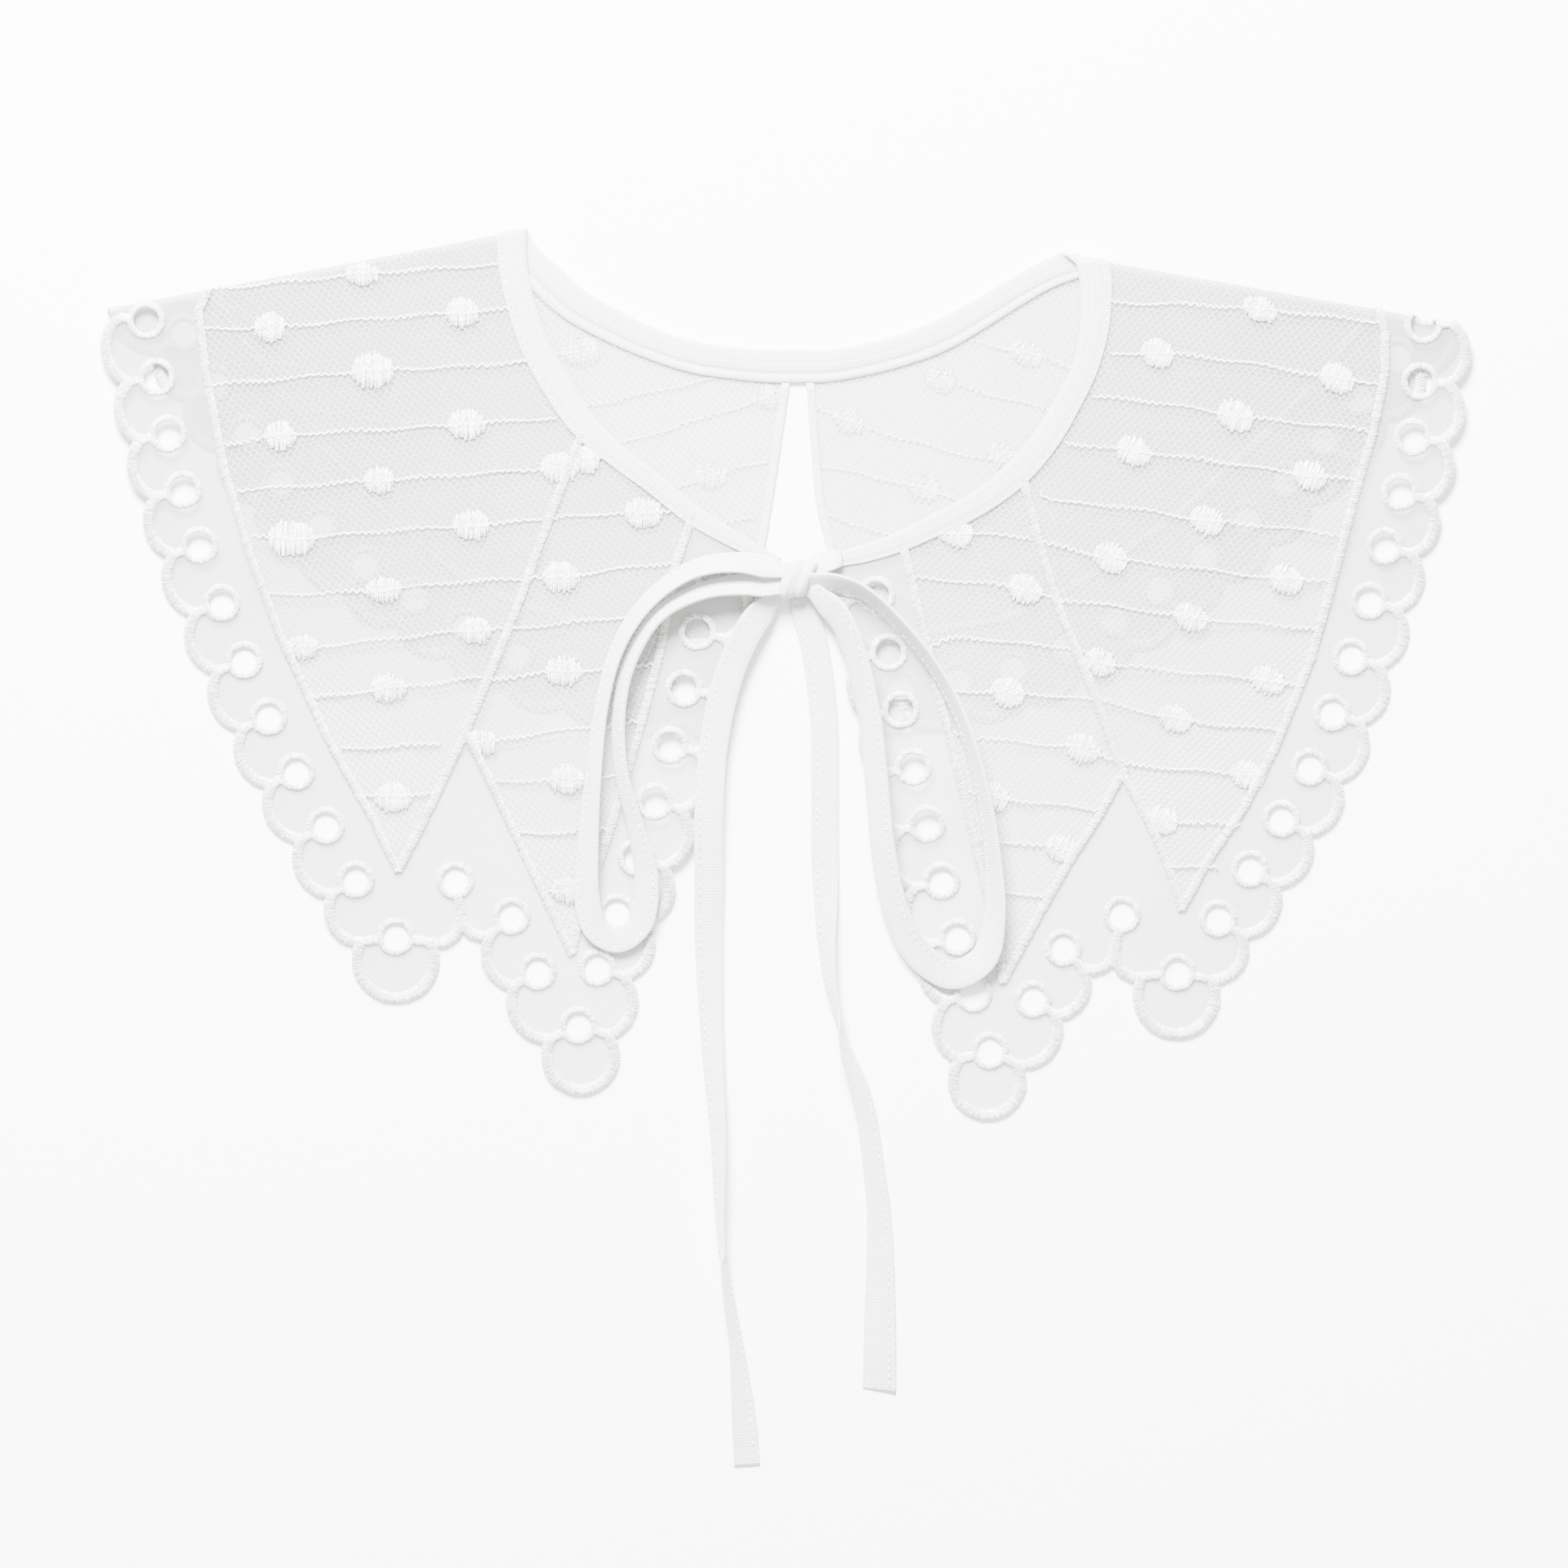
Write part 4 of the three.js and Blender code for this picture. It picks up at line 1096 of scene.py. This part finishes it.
# Sheets
def sheet_mesh(name, half, outline, holes, material, level=0.0):
    """A flat pattern piece with holes, filled with small triangles and laid, as far under
    the cloth's middle as level says, on the front and on the back that is folded over."""
    step = SHEET_STEP
    outline = spaced(np.vstack([outline, outline[:1]]), step * 0.6)[:-1]
    inside = lattice(outline, step)
    inside = inside[within(outline, inside)]
    fold = line_through(half["fold"])
    ahead = past(fold, inside)
    inside = inside[np.abs(ahead) > FOLD_REACH * 1.5]
    ways = np.linspace(0, SPAN / 2, 120)
    for share in (-1, -0.6, -0.2, 0.2, 0.6, 1):
        start, up = fold
        row = start + up * FOLD_REACH * share + np.outer(ways - 10, -turned(up))
        inside = np.vstack([inside, row[within(outline, row)]])
    edges = [*outline, *(point for hole in holes for point in hole)]
    rim = np.array(edges)
    keep = np.ones(len(inside), bool)
    for block in np.array_split(np.arange(len(inside)), max(len(inside) // 400, 1)):
        apart = np.linalg.norm(inside[block, None] - rim[None], axis=2).min(1)
        keep[block] = apart > step * 0.35
    inside = inside[keep]
    for hole in holes:
        inside = inside[~within(hole, inside)]
    loops, start = [], 0
    for ring in [outline, *holes]:
        loops += [(start + i, start + (i + 1) % len(ring)) for i in range(len(ring))]
        start += len(ring)
    points = [Vector(point) for point in [*edges, *inside]]
    made = geometry.delaunay_2d_cdt(points, loops, [], 0, 1e-5)
    flat, faces = np.array(made[0]), np.array(made[2])
    middles = flat[faces].mean(1)
    kept = within(outline, middles)
    for hole in holes:
        kept &= ~within(hole, middles)
    under = -level * np.clip(past(fold, flat) / 4, -1, 1)
    return mesh_of(name, lay(half, raised(flat, under)), faces[kept], material)


def ring_points(centre, radius, count):
    angles = np.linspace(0, 2 * math.pi, count, endpoint=False)
    return centre + radius * np.stack([np.cos(angles), np.sin(angles)], 1)


def cell_object():
    """One six-sided cell of net, with a ridge where its strands meet the next cell's."""
    across, up = NET_CELL["pitch"] / 2, NET_CELL["side"] / 2
    top = up + NET_CELL["rise"]
    outer = np.array([
        (0, top), (-across, up), (-across, -up), (0, -top), (across, -up), (across, up),
    ])
    normals = turned(unit(np.roll(outer, -1, 0) - outer))
    before = np.roll(normals, 1, 0)
    shared = 1 + np.sum(normals * before, 1, keepdims=True)
    inner = outer - NET_CELL["strand"] / 2 * (normals + before) / shared
    points = [(*point, 0.12) for point in outer] + [(*point, -0.12) for point in inner]
    faces = [(i, (i + 1) % 6, 6 + (i + 1) % 6, 6 + i) for i in range(6)]
    return helper_of("net_cell", np.array(points) * MM, faces)


CELL = cell_object()


def net_piece(name, half, outline):
    """Net cells over a pattern piece, turned with the cloth's grain, then laid."""
    turn = math.radians(half["net_turn"])
    grain = np.array([[math.cos(turn), math.sin(turn)], [-math.sin(turn), math.cos(turn)]])
    flat = outline @ grain.T
    low, high, pitch = flat.min(0), flat.max(0), NET_CELL["pitch"]
    rows = np.arange(low[1], high[1], NET_CELL["rise"] + NET_CELL["side"])
    cells = [np.arange(low[0] + pitch / 2 * (i % 2), high[0], pitch) for i in range(len(rows))]
    points = np.vstack([raised(xs, y) for xs, y in zip(cells, rows)])
    points = points[within(flat, points)]
    mesh = raw_mesh(name, raised(points, 0) * MM)
    made = grown(name, NETTING, mesh, Cell=CELL, Finish=NET, Join=0.02 * MM)
    corners = corners_of(made) / MM
    corners[:, :2] = corners[:, :2] @ grain
    move_corners(made, in_frame(lay(half, corners)))
    return made


# Camera, light and floor
def camera():
    """Straight above, over the middle of the photograph."""
    distance = 2.4
    sensor = 36
    middle = in_frame([*spot(IMAGE / 2, IMAGE / 2), 0])
    width = IMAGE * SPAN / PHOTO_WIDTH * MM
    data = bpy.data.cameras.new("above")
    data.sensor_width = sensor
    data.lens = sensor * (distance - FRONT_LEVEL * MM) / width
    made = linked("above", data)
    made.location = (middle[0], middle[1], distance)
    bpy.context.scene.camera = made


def lamp(name, place, size, power):
    data = bpy.data.lights.new(name, "AREA")
    data.shape = "DISK"
    data.size = size
    data.energy = power
    made = linked(name, data)
    made.location = place
    made.rotation_mode = "QUATERNION"
    made.rotation_quaternion = (-Vector(place)).to_track_quat("-Z", "Y")


def studio():
    lamp("window", (-0.35, 1.45, 1.5), 1.0, 600)
    lamp("fill", (0.5, -1.1, 2.0), 1.6, 30)
    world = bpy.data.worlds.new("studio")
    world.use_nodes = True
    sky = world.node_tree.nodes["Background"].inputs
    sky["Color"].default_value = (1, 1, 1, 1)
    sky["Strength"].default_value = 2.1
    bpy.context.scene.world = world


def floor():
    finish = Finish("floor", (0.97, 0.97, 0.97), 0.9)
    place = finish.place()
    finish.tint(finish.noise(place, 3, 2), (0.965, 0.965, 0.965), (0.975, 0.975, 0.975))
    half = 5.0
    points = [(-half, -half, 0), (half, -half, 0), (half, half, 0), (-half, half, 0)]
    mesh = raw_mesh("floor", points, faces=[(0, 1, 2, 3)])
    mesh.materials.append(finish.material)
    made = shown("floor", mesh, smooth=False)
    return made


# Ties
def tape_section(width, thick, place, depth, side=1, lips=False):
    """Sections of a tape: rolled edges, and a dip where a row of stitches pulls it in.
    Width, the dip's place and its depth have a value for each station. With lips, the
    edge beside the dip is the tape's open one, where its two folded layers part."""
    wide, high = np.asarray(width, float) / 2, thick / 2
    top = [
        (-1, 0), (-0.98, 0.66), (-0.92, 0.95), (-0.5, 1.05), (0, 1), (place - 0.1, 1),
        (place, 1 - depth), (place + 0.09, 0.96), (0.93, 0.9), (0.985, 0.6),
    ]
    edge = [(0.985, 0.3), (0.88, 0), (0.985, -0.3)] if lips else [(1, 0)]
    outline = top + edge + [(x, -z) for x, z in reversed(top[1:])]
    xs = np.stack([side * x * wide for x, _ in outline], -1)
    zs = np.stack([z * high + 0 * wide for _, z in outline], -1)
    return xs, zs


def tape_frames(stations):
    """Centreline, and the across and above of a tape turned on its edge."""
    centre = stations[:, :3]
    along = heading(centre)
    level = unit(np.cross([0, 0, 1], along))
    turn = np.radians(stations[:, 3])[:, None]
    across = level * np.cos(turn) + np.cross(along, level) * np.sin(turn)
    return centre, along, across, np.cross(along, across)


def swept(centre, across, above, xs, zs):
    """Rings of a tape from its sections."""
    return centre[:, None] + across[:, None] * xs[..., None] + above[:, None] * zs[..., None]


def route_rows(route):
    return np.array([[*spot(x, y), z, turn] for x, y, z, turn in route])


def tucked(stations, ends):
    """Runs a tape's ends on into the knot, narrower, as its wrap gathers them."""
    width = np.full(len(stations), TIE_WIDTH)
    for end in ends:
        flip = 1 if end == "last" else -1
        order, wide = stations[::flip], width[::flip]
        way = unit(order[-1, :3] - order[-3, :3])
        run = [np.append(order[-1, :3] + way * step, order[-1, 3]) for step in (1.5, 3.0, 4.5)]
        order = np.vstack([order, run])
        wide = np.append(wide, [TIE_WIDTH] * len(run))
        away = lengths_along(order[:, :3])
        near = np.clip((away[-1] - away - 2) / 9, 0, 1)
        gathered = TIE_WIDTH * (0.62 + 0.38 * near * near * (3 - 2 * near))
        stations, width = order[::flip], np.minimum(wide, gathered)[::flip]
    return stations, width


def rolled_tail(name, stations, width, here):
    """Turns a tail over as its table says, and thins its cut end."""
    down, *values = np.array([[-spot(0, y)[1], *rest] for y, *rest in TURNS[name]]).T
    turn, share, aside = (np.interp(-stations[:, 1], down, value) for value in values)
    rolled = -stations[:, 1] > down[0]
    stations[:, 3] = np.where(rolled, turn, stations[:, 3])
    width = width * share
    stations[:, 0] += aside * SPAN / PHOTO_WIDTH
    edge_high = width / 2 * np.abs(np.sin(np.radians(stations[:, 3]))) + TIE_THICK * 0.55
    stations[:, 2] = np.where(rolled, np.maximum(stations[:, 2], edge_high), stations[:, 2])
    near = np.clip((here[-1] - here) / TAPER_LENGTH, 0, 1)
    stations[:, 2] -= (1 - near) * TAPER_DROP
    return width, TIE_THICK * (0.25 + 0.75 * near)


def tie(name, far_end):
    """One of the bow's loops or tails, with a row of stitches on both faces."""
    rows = route_rows(TIE_ROUTES[name])
    line = spaced(smooth_line(rows), 1.4)
    ends = ("first", "last") if far_end == "object" else ("first",)
    stations, width = tucked(line, ends)
    here = lengths_along(stations[:, :3])
    thick = np.full(len(stations), TIE_THICK)
    if name in GATHERS:
        at = lengths_along(rows[:, :3])
        width = width * np.interp(here / here[-1], at / at[-1], GATHERS[name])
    if name in TURNS:
        width, thick = rolled_tail(name, stations, width, here)
    centre, along, across, above = tape_frames(stations)
    xs, zs = tape_section(width, thick, **DIP_TIE, side=-1, lips=True)
    rings = swept(centre, across, above, xs, zs)
    rings[-1] += along[-1] * (END_SLANT.get(name, 0) * xs[-1])[:, None]
    section = np.column_stack([xs[len(xs) // 2], zs[len(zs) // 2]])
    made = tape_piece(name, rings, section, f"tie_{name}")
    dip = -DIP_TIE["place"] * width[:, None] / 2
    columns = np.hstack([centre + across * dip, along, across, above, thick[:, None]])
    row = spaced(columns, RUNNING_PITCH)[2:-1]
    sizes = np.broadcast_to(RUNNING_STITCH, (len(row), 3))
    for face, label in ((1, "top"), (-1, "under")):
        places = row[:, :3] + face * row[:, 9:12] * row[:, 12:] * 0.42
        turn = eulers(row[:, 3:6], row[:, 6:9])
        points = points_mesh(f"{name}_{label}", places, turn, sizes)
        stitches = grown(f"{name}_stitches_{label}", STITCHING, points, Stitch=SHORT_GRAIN,
                         Finish=SATIN, Unevenness=0.04, Seed=7)
        declared(pressed(stitches), "thread")


camera()
studio()
FLOOR = floor()
for name, far_end in (
    ("left_loop", "object"), ("right_loop", "object"), ("left_tail", "bare"),
    ("right_tail", "bare"),
):
    tie(name, far_end)


# Knot
def knot():
    """The tape wrapped aslant round the bow: a closed roll with soft creases."""
    low, high = (np.array(corner) / MM - SHIFT for corner in KNOT_BOX)
    centre, size = (low + high) / 2, (high - low) / 2
    around, across = 72, 33
    u = np.linspace(0, 2 * math.pi, around, endpoint=False)[None]
    v = np.linspace(-1, 1, across)[:, None]
    edge = np.sqrt(np.clip(1 - np.abs(v) ** 4, 0, 1))
    swell_out = 0.62 + 0.38 * edge
    creases = 0.32 * np.cos(5.2 * v + 0.9 + 1.3 * np.sin(u)) * edge
    creases = creases + 0.1 * np.cos(13 * v + 2 * np.cos(u)) * edge
    round_y = np.sign(np.cos(u)) * np.abs(np.cos(u)) ** 0.85
    round_z = np.sign(np.sin(u)) * np.abs(np.sin(u)) ** 0.85
    y = round_y * (size[1] * swell_out + creases) * 1.02
    z = round_z * (size[2] * swell_out + creases) * 0.97
    x = v * size[0] * (0.98 - 0.14 * np.abs(np.sin(u))) + 0.42 * y
    rings = centre + np.stack([x + 0 * z, y + 0 * x, z + 0 * x], -1)
    section = np.column_stack([size[1] * np.cos(u[0]), size[2] * np.sin(u[0])])
    tape_piece("knot_wrap", rings, section, "bow_knot")


def twist():
    """The binding's right front end, twisted once where it turns into the knot."""
    stations = spaced(smooth_line(route_rows(TWIST)), 0.8)
    centre, _, across, above = tape_frames(stations)
    share = np.linspace(0, 1, len(stations))
    width = BINDING_WIDTH * (0.5 + 0.42 * np.sin(math.pi * share))
    xs, zs = tape_section(width, TIE_THICK, **DIP_TIE, lips=True)
    rings = swept(centre, across, above, xs, zs)
    tape_piece("twisted_end", rings, np.column_stack([xs[0], zs[0]]))


twist()
knot()


# Neck binding
def binding_stations(half):
    """Stations along the neck, closer together round the fold."""
    fine = spaced(neck_line(half), 0.35)
    ahead = np.abs(past(line_through(half["fold"]), fine))
    keep = np.zeros(len(fine), bool)
    keep[::4] = True
    keep |= ahead < FOLD_REACH * 2.2
    keep[-1] = True
    return fine[keep]


def binding_dip(half, stations):
    """The stitched dip: near the outer edge in front, and further in and deeper behind."""
    front = np.clip(past(line_through(half["fold"]), stations) / SHOULDER_BLEND / 2 + 0.5, 0, 1)
    pairs = ((DIP_BACK[key], DIP_FRONT[key]) for key in ("place", "depth"))
    return [behind + (before - behind) * front for behind, before in pairs]


def binding():
    """The folded tape round the whole neck, in one piece, with its row of stitches."""
    rings = []
    for half in HALVES:
        stations = binding_stations(half)
        aside = turned(heading(stations[:, :2])) * half["outward"]
        place, depth = binding_dip(half, stations)
        xs, zs = tape_section(stations[:, 2], BINDING_THICK, place, depth)
        flat = stations[:, None, :2] + aside[:, None] * xs[..., None]
        laid = lay(half, np.concatenate([flat, zs[..., None]], 2))
        rings.append(laid if half is LEFT else laid[-2::-1])
        row = spaced(stations, RUNNING_PITCH)[1:-1]
        way = heading(row[:, :2])
        place, depth = binding_dip(half, row)
        seam = row[:, :2] + turned(way) * half["outward"] * (place * row[:, 2] / 2)[:, None]
        stitches = Stitches(half)
        for face in (1, -1):
            height = face * BINDING_THICK / 2 * (1 - depth)
            stitches.add(raised(seam, height), way, RUNNING_STITCH)
        made = stitches.made(f"{half['name']}_neck_stitches", 11, 0.04, SHORT_GRAIN)
        declared(made, "thread")
    section = np.column_stack([xs[0], zs[0]])
    tape_piece("neck_tape", np.vstack(rings), section, "neck_binding")


binding()


# Threads and dots
def wavy(points, seed):
    """A line of points with the small waves of a couched thread."""
    line = spaced(smooth_line(points) if len(points) > 2 else points, THREAD_STEP)
    way = heading(line[:, :2])
    along = lengths_along(line[:, :2])
    random = np.random.default_rng(seed)
    phase, drift = random.uniform(0, 6.28, 2)
    reach = 0.42 + 0.2 * np.sin(along / 6.3 + 2 * drift)
    stray = 1.6 * np.sin(along / 5 + drift) + 0.8 * np.sin(along / 1.9 + phase)
    wave = reach * np.sin(along * 2 * math.pi / 2.6 + phase + stray)
    wave = wave + 0.35 * np.sin(along / 4.1 + drift)
    lift = 0.15 * np.sin(along * 2 * math.pi / 2.3 + phase + 1.5)
    return line[:, :2] + turned(way) * wave[:, None], lift


def rows_of(half, rows, layer):
    """The wavy threads of one layer, as one piece, and the dots on them."""
    points, edges, dots = [], [], []
    for row_index, row in enumerate(rows):
        places = []
        for place in row:
            places.append(on_cloth(half, layer, place[:2]))
            if len(place) == 4:
                dots.append((places[-1], *place[2:]))
        line, lift = wavy(np.array(places), 40 + row_index)
        start = len(points)
        points += list(lay(half, raised(line, THREAD_RISE + lift)))
        edges += [(start + i, start + i + 1) for i in range(len(line) - 1)]
    name = f"{half['name']}_{layer}_threads"
    mesh = raw_mesh(name, in_frame(points), edges)
    made = grown(name, CORDING, mesh, Radius=THREAD_RADIUS * MM, Sides=5, Finish=COUCHING)
    declared(made, "thread")
    return dots


def dots_of(half, dots, layer, seed):
    """Satin dots: short stitches side by side over an oval."""
    stitches = Stitches(half)
    random = np.random.default_rng(seed)
    lean = math.radians(half["stitch_slant"])
    up = np.array([math.sin(lean), math.cos(lean)])
    if layer == "back":
        fold = line_through(half["fold"])[1]
        up = up - 2 * (up @ fold) * fold
    side = turned(up)
    pitch = DOT_PITCH
    scale = SPAN / PHOTO_WIDTH
    for centre, wide, high in dots:
        a, b = wide * scale / 2, high * scale / 2
        steps = np.arange(-a + pitch * 0.4, a, pitch)
        bow = np.sqrt(1 - (steps / a) ** 2)
        turns = np.where(np.arange(len(steps)) % 2, 1, -1)
        middle = 0.22 * turns + random.uniform(-0.15, 0.15, len(steps))
        reach = b * (0.2 + 0.8 * bow) * random.uniform(0.98, 1.12, len(steps))
        places = centre + np.outer(steps, side) + np.outer(middle, up)
        widths = np.full(len(steps), pitch * 1.25)
        sizes = np.column_stack([2 * reach, widths, DOT_HEIGHT[layer] + 0.25 * bow])
        stitches.add(raised(places, DOT_LEVEL + 0.2 * bow), up, sizes)
    declared(stitches.made(f"{half['name']}_{layer}_dots", seed, 0.06), "thread")


# Each half
def edging(half):
    """Satin over the scallops and their stems, and round the eyelets."""
    arcs, stems = edge_arcs(half, 24)
    edge = Stitches(half)
    for one in arcs:
        edge.along(one, EDGE_WIDTH * 1.08, EDGE_PITCH, height=2.0, level=0.15)
    for joint, end in stems:
        reach = end - joint
        line = np.array([joint - unit(reach) * 0.6, end])
        edge.along(line, STEM_WIDTH, EDGE_PITCH, height=1.8)
    declared(edge.made(f"{half['name']}_edge_satin", 21), "thread")
    rings = Stitches(half)
    radius = EYELET_HOLE / 2 + EYELET_BAND / 2 + 0.15
    pitch = 2 * math.pi * radius / RING_STITCHES
    for point in eyelet_chain(half)[0]:
        ring = ring_points(point, radius, RING_STITCHES)
        size = (EYELET_BAND * 0.94, pitch * 1.3, 1.7)
        rings.add(raised(ring, 0.2), unit(ring - point), size)
    declared(rings.made(f"{half['name']}_eyelet_satin", 22), "thread")


def seams(half):
    stitches = Stitches(half)
    for line in seam_lines(half):
        stitches.along(line, SEAM_WIDTH * 1.3, SEAM_PITCH, height=2.0, level=0.3, slant=16)
    made = stitches.made(f"{half['name']}_seam_satin", 31, 0.14)
    declared(made, "thread", f"{half['name']}_seam_cords")


def tulle(half, part, outline):
    """A field of net with its veil; the pair is one sheet of cloth."""
    name = f"{half['name']}_{part}"
    net = declared(net_piece(f"{name}_net", half, outline), "tulle")
    mesh = sheet_mesh(f"{name}_veil", half, outline, [], VEIL, VEIL_DEPTH)
    veil = declared(shown(f"{name}_veil", mesh), "tulle", f"{name}_tulle")


def border(half):
    name = half["name"]
    outline = border_outline(half)
    holes = [ring_points(point, EYELET_HOLE / 2 + 0.5, 20) for point in eyelet_chain(half)[0]]
    mesh = sheet_mesh(f"{name}_organza", half, outline, holes, ORGANZA)
    cloth = declared(shown(f"{name}_organza", mesh), "organza", f"{name}_scalloped_border")


def hem(half):
    """The narrow turned hem of the slit, with a line of stitches."""
    line = spaced(smooth_line(hem_line(half)), 2.0)
    way = heading(line)
    xs, zs = tape_section(np.full(len(line), HEM_WIDTH), HEM_THICK, **DIP_HEM)
    flat = line[:, None] + turned(way)[:, None] * xs[..., None]
    rings = lay(half, np.concatenate([flat, zs[..., None]], 2))
    name = f"{half['name']}_hem"
    tape_piece(name, rings, np.column_stack([xs[0], zs[0]]), f"{half['name']}_slit_hem")
    stitches = Stitches(half)
    row = spaced(line, HEM_PITCH)
    way = heading(row)
    for level in (0.36, -0.36):
        stitches.add(raised(row, level), way, HEM_STITCH)
    declared(stitches.made(f"{name}_stitches", 12, 0.04, SHORT_GRAIN), "thread")


for half in HALVES:
    border(half)
    tulle(half, "outer", outer_outline(half))
    tulle(half, "inner", inner_outline(half))
    edging(half)
    seams(half)
    hem(half)
    for layer, rows in (("front", ROWS_FRONT), ("back", ROWS_BACK)):
        dots_of(half, rows_of(half, rows[half["name"]], layer), layer, 51)

for helper in (GRAIN, SHORT_GRAIN, CELL):
    bpy.data.objects.remove(helper)
